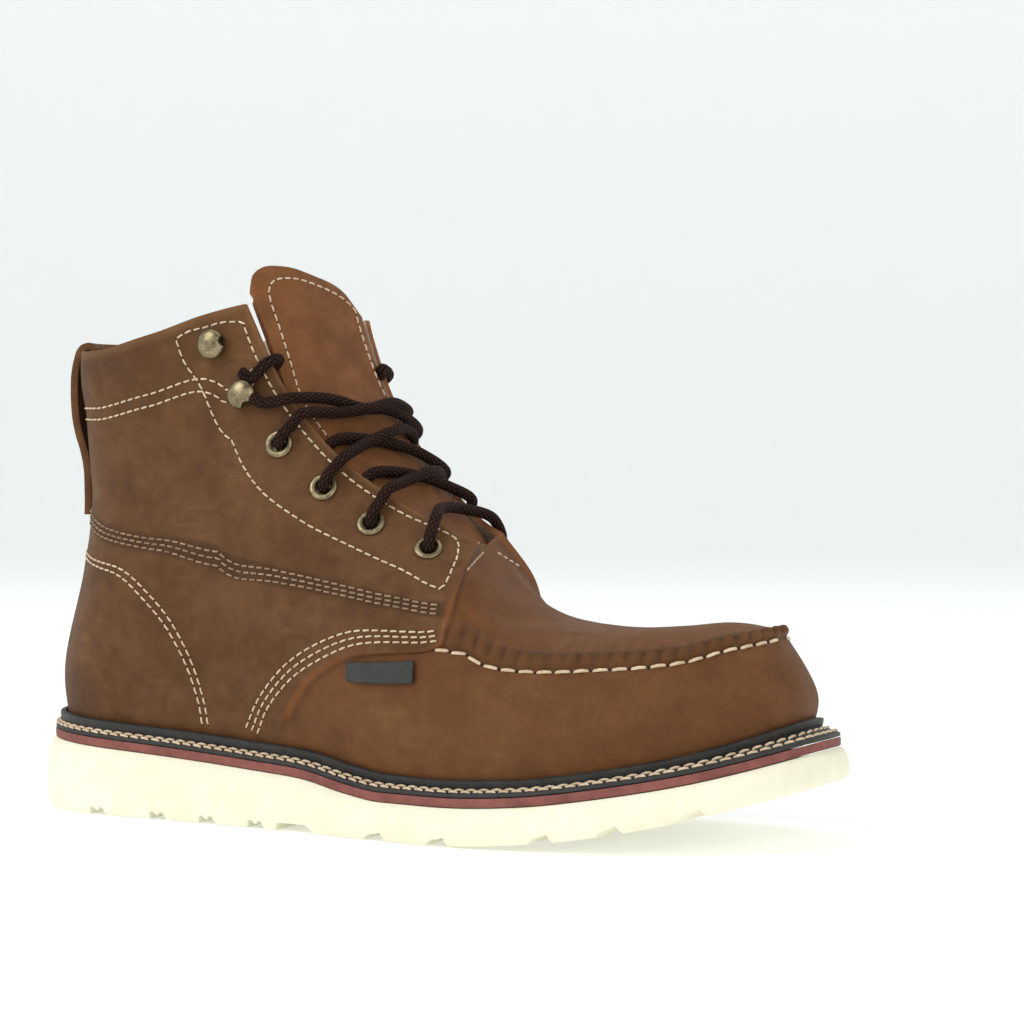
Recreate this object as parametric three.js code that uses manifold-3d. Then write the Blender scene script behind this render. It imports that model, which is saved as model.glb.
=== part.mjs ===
// Six inch lace-up work boot with a moc toe on a white wedge sole, right foot.
// Millimetres. Toe along +X, outer side along -Y, inner side along +Y, floor at Z = 0.
// X = 0 is the middle of the outsole's length and Y = 0 the middle of its width.
//
// The boot is drawn on one footprint, the edge of the outsole. A station on it is a
// share of the outsole's length, 0 at the back of the heel and 1 at the tip of the toe,
// and a side, outer or inner. The midsole, welt, insole and the foot of the upper lie
// at named depths inside that edge. The upper is a fan of ribs, one per station and
// side, each rising from the foot of the upper to its top line.
import * as THREE from 'three';
import { mergeVertices } from 'three/addons/utils/BufferGeometryUtils.js';
import Module from 'manifold-3d';

const wasm = await Module();
wasm.setup();

const CLEARANCE = 0.3; // between pieces that rest on each other
const SLIVER = 0.02; // edges that a cut leaves shorter than this are closed up
const OUTER = -1;
const INNER = 1;

// Sizes

const LENGTH = 304; // outsole, heel to toe
const HALF_WIDTH = 53; // outsole at the ball of the foot
const HEEL_ROUND = 46; // length over which the heel end rounds off
const TOE_ROUND = 66; // length over which the toe end rounds off
const HEEL_SQUARENESS = 2.3; // 2 is an ellipse, more is squarer
const TOE_SQUARENESS = 2.5;
const SOLE_REAR = 25.5; // outsole thickness at the back of the heel
const TOE_SPRING = 21.5; // how far the tip of the sole is lifted
const TOE_SPRING_START = 0.58; // share of the length where it starts to lift
const HEEL_BEVEL = 2; // lift of the last of the heel
const HEEL_BEVEL_END = 0.05; // share of the length that is bevelled
const TREAD_INSET = 1.2; // the tread's edge inside the widest line of the sole
const TREAD_CHAMFER = 1.8;
const SOLE_SHOULDER = 6; // height over which the sole draws in to the midsole

const MIDSOLE_INSET = 3;
const MIDSOLE_THICK = 3;

const WELT_LIP = 1.3; // height of the welt's outer edge
const RAND_THICK = 2.1;
const RAND_HEEL = 6.2; // top of the rand over the midsole, in the rear half
const RAND_TOE = 5.2; // the same at the toe
const RAND_GAP = 0.7; // between the rand and the bulging leather

const WALL = 2.2; // leather and lining of the upper
const COLLAR_FRONT = 180; // height of the collar's front corner
const INSTEP = 97.5; // height of the throat, where the lacing ends
const VAMP_LOW = 69.3; // lowest height of the vamp's centre line
const MOC_RIDGE = 2.3; // height of the gathered seam round the plug

const INSOLE_THICK = 3;
const INSOLE_GAP = 0.8; // round the insole, inside the upper

const TONGUE_THICK = 3;
const TONGUE_GAP = 1; // between the tongue and the upper's lining
const TONGUE_BULGE = 4; // arch of the tongue over the line between the facings
const TONGUE_TOP = 13; // how far it stands above the collar's front corners
const TONGUE_UP = new THREE.Vector3(-0.3, 0, 0.95).normalize(); // the way its top points

const EYELET_HOLE = 5.2; // diameters
const EYELET_BARREL = 6;
const EYELET_FLANGE = 9.6;
const EYELET_THICK = 0.85;
const HOOK_BASE = 8.6;
const HOOK_STEM = 4.6;
const HOOK_CAP = 10.6;
const HOOK_HEIGHT = 6;

const LACE = 4; // diameter

const LOOP_WIDTH = 20; // pull loop strap
const LOOP_THICK = 2.6;

const TAB_THICK = 1.7; // flat tab under the quarter's front edge, on the outer side

const COLUMNS = 30; // ribs per side of the upper
const EDGE_STEPS = 30; // stations per side of the sole pieces

// Tables

// Half widths of the footprint, as shares of HALF_WIDTH.
const FOOTPRINT = [
  { at: 0, outer: 0.591, inner: 0.774 },
  { at: 0.06, outer: 0.623, inner: 0.792 },
  { at: 0.14, outer: 0.658, inner: 0.811 },
  { at: 0.28, outer: 0.711, inner: 0.802 },
  { at: 0.42, outer: 0.811, inner: 0.811 },
  { at: 0.55, outer: 0.938, inner: 0.896 },
  { at: 0.66, outer: 1, inner: 0.972 },
  { at: 0.78, outer: 0.95, inner: 1 },
  { at: 0.88, outer: 0.83, inner: 1.01 },
  { at: 0.95, outer: 0.72, inner: 0.98 },
  { at: 1, outer: 0.62, inner: 0.93 },
];

// Height of the outsole's top face, as a share of SOLE_REAR without the toe spring,
// and the share of TOE_SPRING that it takes up.
const SOLE_TOP = [
  { at: 0, thick: 1, spring: 0 },
  { at: 0.13, thick: 0.918, spring: 0 },
  { at: 0.22, thick: 0.859, spring: 0 },
  { at: 0.35, thick: 0.757, spring: 0 },
  { at: 0.42, thick: 0.698, spring: 0 },
  { at: 0.486, thick: 0.553, spring: 0 },
  { at: 0.535, thick: 0.482, spring: 0 },
  { at: 0.6, thick: 0.478, spring: 0 },
  { at: 0.7, thick: 0.465, spring: 0.081 },
  { at: 0.8, thick: 0.466, spring: 0.274 },
  { at: 0.9, thick: 0.439, spring: 0.58 },
  { at: 1, thick: 0.435, spring: 1 },
];

// Depth of the upper's foot inside the footprint, in multiples of MIDSOLE_INSET.
const FOOT_DEPTH = [
  { at: 0, depth: 2.6 },
  { at: 0.25, depth: 3 },
  { at: 0.5, depth: 3.33 },
  { at: 0.8, depth: 3.67 },
  { at: 1, depth: 4.07 },
];

// Height of the rand between RAND_TOE (0) and RAND_HEEL (1).
const RAND = [
  { at: 0, tall: 0.9 },
  { at: 0.45, tall: 1 },
  { at: 0.6, tall: 0.2 },
  { at: 1, tall: 0 },
];

// Top line of the upper from the back of the heel to its front collar corner, then down
// the facing to the throat. x is a share of LENGTH, y of HALF_WIDTH, and up runs from
// the height INSTEP (0) to COLLAR_FRONT (1).
const TOP_OUTER = [
  { at: 0, x: -0.459, y: 0.075, up: 0.824 },
  { at: 0.03, x: -0.444, y: -0.19, up: 0.825 },
  { at: 0.08, x: -0.397, y: -0.405, up: 0.821 },
  { at: 0.16, x: -0.303, y: -0.519, up: 0.884 },
  { at: 0.22, x: -0.237, y: -0.509, up: 0.954 },
  { at: 0.28, x: -0.18, y: -0.472, up: 1, corner: true },
  { at: 0.31, x: -0.161, y: -0.462, up: 0.855 },
  { at: 0.36, x: -0.132, y: -0.453, up: 0.661 },
  { at: 0.44, x: -0.072, y: -0.425, up: 0.394 },
  { at: 0.52, x: 0, y: -0.396, up: 0.2 },
  { at: 0.58, x: 0.063, y: -0.358, up: 0.073 },
  { at: 0.62, x: 0.102, y: -0.302, up: 0, corner: true },
  { at: 0.64, x: 0.086, y: 0.038, up: -0.012 },
];
const TOP_INNER = [
  { at: 0, x: -0.459, y: 0.075, up: 0.824 },
  { at: 0.03, x: -0.443, y: 0.33, up: 0.825 },
  { at: 0.08, x: -0.393, y: 0.515, up: 0.825 },
  { at: 0.16, x: -0.289, y: 0.623, up: 0.873 },
  { at: 0.22, x: -0.204, y: 0.632, up: 0.921 },
  { at: 0.28, x: -0.122, y: 0.585, up: 0.958, corner: true },
  { at: 0.31, x: -0.11, y: 0.566, up: 0.83 },
  { at: 0.36, x: -0.086, y: 0.547, up: 0.624 },
  { at: 0.44, x: -0.036, y: 0.509, up: 0.358 },
  { at: 0.52, x: 0.013, y: 0.472, up: 0.176 },
  { at: 0.58, x: 0.053, y: 0.396, up: 0.067 },
  { at: 0.62, x: 0.077, y: 0.321, up: 0.024, corner: true },
  { at: 0.64, x: 0.086, y: 0.038, up: -0.012 },
];

// Centre line of the vamp, from the throat to the toe. x and y are shares as above and
// up runs from VAMP_LOW (0) to INSTEP (1).
const VAMP_LINE = [
  { at: 0.64, x: 0.086, y: 0.038, up: 0.965 },
  { at: 0.7, x: 0.141, y: 0.057, up: 0.291 },
  { at: 0.76, x: 0.197, y: 0.075, up: 0.053 },
  { at: 0.82, x: 0.263, y: 0.094, up: 0 },
  { at: 0.88, x: 0.319, y: 0.132, up: 0.032 },
  { at: 0.94, x: 0.365, y: 0.16, up: 0.082 },
  { at: 1, x: 0.398, y: 0.17, up: 0.06 },
];
const THROAT = 0.64; // station where the top line meets the vamp's centre line
const COLLAR_CORNER = 0.28;
const QUARTER_EDGE = 0.62;

// Inner control points of the ribs, a row per station. Each of the three points lies at
// lean of the way from the rib's foot to its top seen from above, moved out by a share
// of HALF_WIDTH, and at rise of the way up. The second one runs along the moc seam.
const RIBS_OUTER = [
  { at: 0, lean1: 0.17, out1: 0.045, rise1: 0.17, lean2: 0.41, out2: -0.066, rise2: 0.42,
    lean3: 0.61, out3: -0.1, rise3: 0.61 },
  { at: 0.04, lean1: 0.17, out1: 0.049, rise1: 0.17, lean2: 0.41, out2: -0.053, rise2: 0.42,
    lean3: 0.61, out3: -0.094, rise3: 0.61 },
  { at: 0.08, lean1: 0.17, out1: 0.068, rise1: 0.17, lean2: 0.41, out2: -0.009, rise2: 0.42,
    lean3: 0.61, out3: -0.072, rise3: 0.61 },
  { at: 0.14, lean1: 0.17, out1: 0.087, rise1: 0.17, lean2: 0.41, out2: 0.049, rise2: 0.42,
    lean3: 0.61, out3: -0.034, rise3: 0.61 },
  { at: 0.28, lean1: 0.17, out1: 0.104, rise1: 0.17, lean2: 0.41, out2: 0.091, rise2: 0.42,
    lean3: 0.63, out3: 0.049, rise3: 0.63 },
  { at: 0.36, lean1: 0.15, out1: 0.117, rise1: 0.19, lean2: 0.38, out2: 0.132, rise2: 0.45,
    lean3: 0.64, out3: 0.136, rise3: 0.68 },
  { at: 0.44, lean1: 0.12, out1: 0.121, rise1: 0.21, lean2: 0.34, out2: 0.151, rise2: 0.49,
    lean3: 0.62, out3: 0.151, rise3: 0.72 },
  { at: 0.52, lean1: 0.09, out1: 0.117, rise1: 0.24, lean2: 0.28, out2: 0.151, rise2: 0.53,
    lean3: 0.58, out3: 0.151, rise3: 0.76 },
  { at: 0.58, lean1: 0.06, out1: 0.102, rise1: 0.27, lean2: 0.22, out2: 0.121, rise2: 0.56,
    lean3: 0.54, out3: 0.132, rise3: 0.8 },
  { at: 0.62, lean1: 0.04, out1: 0.091, rise1: 0.3, lean2: 0.16, out2: 0.087, rise2: 0.59,
    lean3: 0.48, out3: 0.104, rise3: 0.835 },
  { at: 0.64, lean1: 0.03, out1: 0.087, rise1: 0.3, lean2: 0.12, out2: 0.079, rise2: 0.59,
    lean3: 0.46, out3: 0.102, rise3: 0.85 },
  { at: 0.7, lean1: 0.02, out1: 0.075, rise1: 0.34, lean2: 0.09, out2: 0.049, rise2: 0.68,
    lean3: 0.47, out3: 0.03, rise3: 0.88 },
  { at: 0.76, lean1: 0.01, out1: 0.064, rise1: 0.38, lean2: 0.08, out2: 0.023, rise2: 0.755,
    lean3: 0.48, out3: 0, rise3: 0.94 },
  { at: 0.82, lean1: 0.01, out1: 0.057, rise1: 0.4, lean2: 0.09, out2: 0, rise2: 0.785,
    lean3: 0.5, out3: 0, rise3: 0.965 },
  { at: 0.88, lean1: 0.01, out1: 0.045, rise1: 0.4, lean2: 0.13, out2: 0, rise2: 0.79,
    lean3: 0.55, out3: 0, rise3: 0.97 },
  { at: 0.94, lean1: 0.01, out1: 0.038, rise1: 0.39, lean2: 0.25, out2: 0, rise2: 0.84,
    lean3: 0.62, out3: 0, rise3: 0.975 },
  { at: 1, lean1: 0.02, out1: 0.036, rise1: 0.38, lean2: 0.45, out2: 0, rise2: 0.9,
    lean3: 0.72, out3: 0, rise3: 0.975 },
];
const RIBS_INNER = [
  { at: 0, lean1: 0.17, out1: 0.045, rise1: 0.17, lean2: 0.41, out2: -0.066, rise2: 0.42,
    lean3: 0.61, out3: -0.1, rise3: 0.61 },
  { at: 0.04, lean1: 0.17, out1: 0.049, rise1: 0.17, lean2: 0.41, out2: -0.053, rise2: 0.42,
    lean3: 0.61, out3: -0.094, rise3: 0.61 },
  { at: 0.08, lean1: 0.17, out1: 0.064, rise1: 0.17, lean2: 0.41, out2: -0.019, rise2: 0.42,
    lean3: 0.61, out3: -0.079, rise3: 0.61 },
  { at: 0.14, lean1: 0.17, out1: 0.068, rise1: 0.17, lean2: 0.41, out2: 0.011, rise2: 0.42,
    lean3: 0.61, out3: -0.06, rise3: 0.61 },
  { at: 0.28, lean1: 0.17, out1: 0.072, rise1: 0.17, lean2: 0.41, out2: 0.045, rise2: 0.42,
    lean3: 0.63, out3: 0, rise3: 0.63 },
  { at: 0.36, lean1: 0.15, out1: 0.083, rise1: 0.19, lean2: 0.38, out2: 0.075, rise2: 0.45,
    lean3: 0.64, out3: 0.045, rise3: 0.68 },
  { at: 0.44, lean1: 0.12, out1: 0.091, rise1: 0.21, lean2: 0.34, out2: 0.087, rise2: 0.49,
    lean3: 0.62, out3: 0.068, rise3: 0.72 },
  { at: 0.52, lean1: 0.09, out1: 0.091, rise1: 0.24, lean2: 0.3, out2: 0.083, rise2: 0.53,
    lean3: 0.6, out3: 0.068, rise3: 0.76 },
  { at: 0.58, lean1: 0.06, out1: 0.083, rise1: 0.27, lean2: 0.26, out2: 0.064, rise2: 0.56,
    lean3: 0.58, out3: 0.049, rise3: 0.8 },
  { at: 0.62, lean1: 0.04, out1: 0.075, rise1: 0.3, lean2: 0.2, out2: 0.057, rise2: 0.59,
    lean3: 0.56, out3: 0.026, rise3: 0.82 },
  { at: 0.64, lean1: 0.03, out1: 0.075, rise1: 0.3, lean2: 0.16, out2: 0.057, rise2: 0.59,
    lean3: 0.58, out3: 0.019, rise3: 0.82 },
  { at: 0.7, lean1: 0.02, out1: 0.068, rise1: 0.34, lean2: 0.12, out2: 0.045, rise2: 0.68,
    lean3: 0.52, out3: 0, rise3: 0.88 },
  { at: 0.76, lean1: 0.01, out1: 0.06, rise1: 0.38, lean2: 0.08, out2: 0.023, rise2: 0.755,
    lean3: 0.5, out3: 0, rise3: 0.94 },
  { at: 0.82, lean1: 0.01, out1: 0.057, rise1: 0.4, lean2: 0.09, out2: 0, rise2: 0.785,
    lean3: 0.5, out3: 0, rise3: 0.965 },
  { at: 0.88, lean1: 0.01, out1: 0.045, rise1: 0.4, lean2: 0.13, out2: 0, rise2: 0.79,
    lean3: 0.55, out3: 0, rise3: 0.97 },
  { at: 0.94, lean1: 0.01, out1: 0.038, rise1: 0.39, lean2: 0.25, out2: 0, rise2: 0.84,
    lean3: 0.62, out3: 0, rise3: 0.975 },
  { at: 1, lean1: 0.02, out1: 0.036, rise1: 0.38, lean2: 0.45, out2: 0, rise2: 0.9,
    lean3: 0.72, out3: 0, rise3: 0.975 },
];
const TOP_LEVEL = 4; // level of the top line; the foot is level 0, the moc seam level 2

// Levels of the upper's rows: denser at the moc seam and below the top line.
const ROW_LEVELS = [
  0, 0.35, 0.75, 1.15, 1.5, 1.72, 1.85, 1.95, 2, 2.07, 2.2, 2.33, 2.42, 2.75, 3.1, 3.4, 3.7, 3.9, 4,
];

// Front edge of the quarter, which runs down from the throat's corner and then sweeps back
// to the welt: the station it passes at each level.
const QUARTER_LINE = [
  { level: 0, station: 0.372 },
  { level: 0.35, station: 0.381 },
  { level: 0.75, station: 0.397 },
  { level: 1.15, station: 0.422 },
  { level: 1.5, station: 0.463 },
  { level: 1.72, station: 0.512 },
  { level: 1.85, station: 0.562 },
  { level: 1.95, station: 0.597 },
  { level: 2, station: 0.604 },
  { level: 2.42, station: 0.612 },
  { level: 3.1, station: 0.62 },
  { level: 4, station: 0.62 },
];
const QUARTER_STEP = 1.3; // height of that edge over the vamp
const QUARTER_FADE = 0.07; // share of the columns over which it fades out behind the edge
const EDGE_GAP = 0.004; // width of the step, a share of the columns

// The lacing, from the throat up: where each eyelet and hook sits.
const EYELETS = [
  { name: 'eyelet_4', at: 0.578, level: 3.51 },
  { name: 'eyelet_3', at: 0.51, level: 3.52 },
  { name: 'eyelet_2', at: 0.442, level: 3.57 },
  { name: 'eyelet_1', at: 0.37, level: 3.56 },
];
const HOOKS = [
  { name: 'hook_2', at: 0.296, level: 3.56 },
  { name: 'hook_1', at: 0.244, level: 3.8 },
];

// Transverse grooves of the tread: centre as a share of LENGTH from the heel.
const HEEL_GROOVES = [{ at: 0.134 }, { at: 0.222 }, { at: 0.293 }, { at: 0.364 }];
const FORE_GROOVES = [{ at: 0.532 }, { at: 0.615 }, { at: 0.737 }, { at: 0.812 }, { at: 0.893 }];
const GROOVE_WIDTH = 7.6;
const GROOVE_DEPTH = 2.6;
const GROOVE_TOOTH = 1.3; // height left of the tooth inside a heel groove
const NOTCH_WIDTH = 9;
const NOTCH_DEPTH = 2.9;
const ARCH_GAP = { from: 0.392, to: 0.447, depth: 2.7 };

// Curves

// Half a turn from heel to toe: the measure along which the two ends come out round.
function turnOf(at) {
  return Math.acos(1 - 2 * THREE.MathUtils.clamp(at, 0, 1));
}

// Monotone cubic through one column of a table, read by another one; a corner row breaks
// the smoothness. measure stretches the column that it is read by, and a flat one has no
// slope at 0 and 1.
function column(rows, key, by = 'at', measure = (value) => value, flat = false) {
  const spans = [];
  let first = 0;
  rows.forEach((row, i) => {
    if (i > first && (row.corner || i === rows.length - 1)) {
      spans.push(rows.slice(first, i + 1));
      first = i;
    }
  });
  return (value) => {
    const span = spans.find((part) => value <= part.at(-1)[by]) ?? spans.at(-1);
    const starts = flat && span[0][by] === 0;
    const ends = flat && span.at(-1)[by] === 1;
    const marks = span.map((row) => measure(row[by]));
    return monotone(marks, span.map((row) => row[key]), measure(value), starts, ends);
  };
}

function monotone(x, y, value, flatStart, flatEnd) {
  const steps = x.slice(1).map((end, i) => end - x[i]);
  const rates = steps.map((step, i) => (y[i + 1] - y[i]) / step);
  let i = 0;
  while (i < steps.length - 1 && value > x[i + 1]) i += 1;
  const t = THREE.MathUtils.clamp((value - x[i]) / steps[i], 0, 1);
  const before = flatStart && i === 0 ? 0 : slopeAt(steps, rates, i);
  const after = flatEnd && i === steps.length - 1 ? 0 : slopeAt(steps, rates, i + 1);
  return (2 * t ** 3 - 3 * t ** 2 + 1) * y[i] + (t ** 3 - 2 * t ** 2 + t) * steps[i] * before
    + (3 * t ** 2 - 2 * t ** 3) * y[i + 1] + (t ** 3 - t ** 2) * steps[i] * after;
}

// Slope at point i that keeps the cubic from overshooting.
function slopeAt(steps, rates, i) {
  const last = rates.length;
  if (last === 1) return rates[0];
  if (i === 0) return endSlope(steps[0], steps[1], rates[0], rates[1]);
  if (i === last) return endSlope(steps[last - 1], steps[last - 2], rates[last - 1], rates[last - 2]);
  if (rates[i - 1] * rates[i] <= 0) return 0;
  const before = 2 * steps[i] + steps[i - 1];
  const after = steps[i] + 2 * steps[i - 1];
  return (before + after) / (before / rates[i - 1] + after / rates[i]);
}

function endSlope(step, nextStep, rate, nextRate) {
  const slope = ((2 * step + nextStep) * rate - step * nextRate) / (step + nextStep);
  if (slope * rate <= 0) return 0;
  if (rate * nextRate <= 0 && Math.abs(slope) > 3 * Math.abs(rate)) return 3 * rate;
  return slope;
}

// Station of step i out of count, closer together at the two round ends.
function station(i, count) {
  return (1 - Math.cos((Math.PI * i) / count)) / 2;
}

// Footprint

const halfOuter = column(FOOTPRINT, 'outer');
const halfInner = column(FOOTPRINT, 'inner');

function roundEnd(distance, round, squareness) {
  const left = 1 - THREE.MathUtils.clamp(distance / round, 0, 1);
  return (1 - left ** squareness) ** (1 / squareness);
}

function edge(at, side) {
  const middle = (halfInner(at) - halfOuter(at)) / 2;
  const half = (halfInner(at) + halfOuter(at)) / 2;
  const ends = roundEnd(at * LENGTH, HEEL_ROUND, HEEL_SQUARENESS)
    * roundEnd((1 - at) * LENGTH, TOE_ROUND, TOE_SQUARENESS);
  return new THREE.Vector2((at - 0.5) * LENGTH, HALF_WIDTH * (middle + side * half * ends));
}

function edgeNormal(at, side) {
  if (at < 1e-9) return new THREE.Vector2(-1, 0);
  if (at > 1 - 1e-9) return new THREE.Vector2(1, 0);
  const angle = Math.acos(1 - 2 * at);
  const step = 0.003;
  const before = edge((1 - Math.cos(Math.max(angle - step, 0))) / 2, side);
  const after = edge((1 - Math.cos(Math.min(angle + step, Math.PI))) / 2, side);
  const along = after.sub(before).normalize();
  return new THREE.Vector2(-side * along.y, side * along.x);
}

// The footprint drawn in by a depth.
function inset(at, side, depth) {
  return edge(at, side).addScaledVector(edgeNormal(at, side), -depth);
}

const soleThick = column(SOLE_TOP, 'thick');
const soleSpring = column(SOLE_TOP, 'spring');
const footDepthShare = column(FOOT_DEPTH, 'depth');
const randTall = column(RAND, 'tall');

function soleTop(at) {
  return SOLE_REAR * soleThick(at) + TOE_SPRING * soleSpring(at);
}

function soleBottom(at) {
  const toe = Math.max(0, (at - TOE_SPRING_START) / (1 - TOE_SPRING_START));
  const heel = Math.max(0, 1 - at / HEEL_BEVEL_END);
  return TOE_SPRING * toe ** 2 + HEEL_BEVEL * heel ** 2;
}

function footDepth(at) {
  return MIDSOLE_INSET * footDepthShare(at);
}

function midsoleTop(at) {
  return soleTop(at) + CLEARANCE + MIDSOLE_THICK;
}

// Where the upper, the welt and the insole stand.
function seat(at) {
  return midsoleTop(at) + CLEARANCE;
}

function randTop(at) {
  return midsoleTop(at) + RAND_TOE + (RAND_HEEL - RAND_TOE) * randTall(at);
}

// Solids

// Closed ring of points, one per station and side: down the outer side, back up the
// inner one.
function ringOf(pointAt) {
  const points = [];
  for (let i = 0; i < EDGE_STEPS; i += 1) points.push(pointAt(station(i, EDGE_STEPS), OUTER));
  for (let i = EDGE_STEPS; i > 0; i -= 1) points.push(pointAt(station(i, EDGE_STEPS), INNER));
  return points;
}

// Ring at a depth inside the footprint and at a height that follows the sole.
function ring(depthAt, heightAt) {
  return ringOf((at, side) => {
    const flat = inset(at, side, depthAt(at));
    return new THREE.Vector3(flat.x, flat.y, heightAt(flat.x / LENGTH + 0.5));
  });
}

function geometryOf(positions, indices) {
  const geometry = new THREE.BufferGeometry();
  geometry.setAttribute('position', new THREE.Float32BufferAttribute(positions, 3));
  geometry.setIndex(indices);
  return geometry;
}

// Skin between rings; a closed one joins the last ring to the first, an open one is
// capped with strips that run straight across the sole.
function loft(rings, closed) {
  const count = rings[0].length;
  const indices = [];
  const last = closed ? rings.length : rings.length - 1;
  for (let r = 0; r < last; r += 1) {
    for (let i = 0; i < count; i += 1) {
      const a = r * count + i;
      const b = r * count + ((i + 1) % count);
      const c = ((r + 1) % rings.length) * count + ((i + 1) % count);
      const d = ((r + 1) % rings.length) * count + i;
      indices.push(a, b, c, a, c, d);
    }
  }
  if (!closed) {
    cap(indices, count, 0, true);
    cap(indices, count, (rings.length - 1) * count, false);
  }
  return geometryOf(rings.flat().flatMap((point) => point.toArray()), indices);
}

function cap(indices, count, start, down) {
  const triangle = (a, b, c) => indices.push(start + a, start + (down ? c : b), start + (down ? b : c));
  for (let i = 0; i < count / 2; i += 1) {
    const j = (count - i) % count;
    if (i > 0) triangle(i, i + 1, j);
    if (i < count / 2 - 1) triangle(i + 1, j - 1 + (j === 0 ? count : 0), j);
  }
}

function toSolid(geometry) {
  const bare = geometry.clone();
  bare.deleteAttribute('normal');
  bare.deleteAttribute('uv');
  const merged = mergeVertices(bare, 1e-4);
  return new wasm.Manifold(new wasm.Mesh({
    numProp: 3,
    vertProperties: new Float32Array(merged.attributes.position.array),
    triVerts: new Uint32Array(merged.index.array),
  }));
}

function toGeometry(solid) {
  const mesh = solid.getMesh();
  return geometryOf(Array.from(mesh.vertProperties), Array.from(mesh.triVerts));
}

// A sheet of leather: an open surface given a thickness against its normals, with its
// cut edges closed. raise lifts single points of the outer face.
function thicken(surface, thick, raise = () => 0) {
  const merged = mergeVertices(surface, 1e-4);
  merged.computeVertexNormals();
  const position = merged.attributes.position;
  const normal = merged.attributes.normal;
  const place = merged.attributes.place;
  const count = position.count;
  const positions = [];
  for (const face of [0, 1]) {
    for (let i = 0; i < count; i += 1) {
      const at = new THREE.Vector3().fromBufferAttribute(position, i);
      const away = new THREE.Vector3().fromBufferAttribute(normal, i);
      const atFoot = place && place.getY(i) === 0;
      if (atFoot) away.setZ(0).normalize();
      const lift = face === 0 ? (place ? raise(place.getX(i), place.getY(i)) : 0) : -thick;
      positions.push(...at.addScaledVector(away, lift).toArray());
    }
  }
  const faces = Array.from(merged.index.array);
  const edges = new Map();
  const indices = [...faces];
  for (let i = 0; i < faces.length; i += 3) {
    const [a, b, c] = faces.slice(i, i + 3);
    indices.push(a + count, c + count, b + count);
    for (const [from, to] of [[a, b], [b, c], [c, a]]) {
      if (edges.has(`${to},${from}`)) edges.delete(`${to},${from}`);
      else edges.set(`${from},${to}`, [from, to]);
    }
  }
  for (const [from, to] of edges.values()) {
    indices.push(to, from, from + count, to, from + count, to + count);
  }
  return geometryOf(positions, indices);
}

// Open surface from rows of points, with each point's place on the upper if it has one.
function sheet(rows, places, flip = false) {
  const width = rows[0].length;
  const indices = [];
  for (let r = 0; r < rows.length - 1; r += 1) {
    for (let i = 0; i < width - 1; i += 1) {
      const a = r * width + i;
      const quad = [a, a + 1, a + 1 + width, a + width];
      if (flip) quad.reverse();
      indices.push(quad[0], quad[1], quad[2], quad[0], quad[2], quad[3]);
    }
  }
  const geometry = geometryOf(rows.flat().flatMap((point) => point.toArray()), indices);
  if (places) geometry.setAttribute('place', new THREE.Float32BufferAttribute(places.flat(2), 2));
  return geometry;
}

// The upper's surface

// Columns that run round the footprint. All but y are the same on both sides of an end.
function columns(rows, keys) {
  return Object.fromEntries(keys.map((key) => [key, column(rows, key, 'at', turnOf, key !== 'y')]));
}

const RIB_KEYS = ['lean1', 'out1', 'rise1', 'lean2', 'out2', 'rise2', 'lean3', 'out3', 'rise3'];
const LINE_KEYS = ['x', 'y', 'up'];
const top = { [OUTER]: columns(TOP_OUTER, LINE_KEYS), [INNER]: columns(TOP_INNER, LINE_KEYS) };
const ribs = { [OUTER]: columns(RIBS_OUTER, RIB_KEYS), [INNER]: columns(RIBS_INNER, RIB_KEYS) };
const vamp = columns(VAMP_LINE, LINE_KEYS);

function topPoint(at, side) {
  const line = at < THROAT ? top[side] : vamp;
  const low = at < THROAT ? INSTEP : VAMP_LOW;
  const high = at < THROAT ? COLLAR_FRONT : INSTEP;
  const height = low + line.up(at) * (high - low);
  return new THREE.Vector3(line.x(at) * LENGTH, line.y(at) * HALF_WIDTH, height);
}

function ribPoints(at, side) {
  const foot = inset(at, side, footDepth(at));
  const away = edgeNormal(at, side);
  const base = new THREE.Vector3(foot.x, foot.y, seat(at));
  const head = topPoint(at, side);
  const points = [base];
  for (const n of [1, 2, 3]) {
    const lean = ribs[side][`lean${n}`](at);
    const out = ribs[side][`out${n}`](at) * HALF_WIDTH;
    const rise = ribs[side][`rise${n}`](at);
    points.push(new THREE.Vector3(
      base.x + (head.x - base.x) * lean + away.x * out,
      base.y + (head.y - base.y) * lean + away.y * out,
      base.z + (head.z - base.z) * rise,
    ));
  }
  return [...points, head];
}

// Point of the upper's outer face at a station, side and level. Over the vamp a rib runs
// on into the one of the other side, so that the two meet smoothly.
function upperPoint(at, side, level) {
  const points = ribPoints(at, side);
  if (at >= THROAT - 1e-9) points.push(...ribPoints(at, -side).reverse().slice(1));
  const i = Math.min(Math.floor(level), points.length - 2);
  const p1 = points[i];
  const p2 = points[i + 1];
  const p0 = points[i - 1] ?? p1.clone().multiplyScalar(2).sub(p2);
  const p3 = points[i + 2] ?? p2.clone().multiplyScalar(2).sub(p1);
  const t = level - i;
  const mix = (a, b, c, d) => 0.5 * (2 * b + (c - a) * t + (2 * a - 5 * b + 4 * c - d) * t * t
    + (3 * b - a - 3 * c + d) * t ** 3);
  return new THREE.Vector3(...['x', 'y', 'z'].map((key) => mix(p0[key], p1[key], p2[key], p3[key])));
}

function upperNormal(at, side, level) {
  const step = 0.004;
  const rise = 0.04;
  const limit = at < THROAT ? TOP_LEVEL : 2 * TOP_LEVEL;
  const ahead = upperPoint(Math.min(at + step, 1), side, level);
  const along = ahead.sub(upperPoint(Math.max(at - step, 0), side, level));
  const above = upperPoint(at, side, Math.min(level + rise, limit));
  const up = above.sub(upperPoint(at, side, Math.max(level - rise, 0)));
  return along.cross(up).multiplyScalar(-side).normalize();
}

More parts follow.
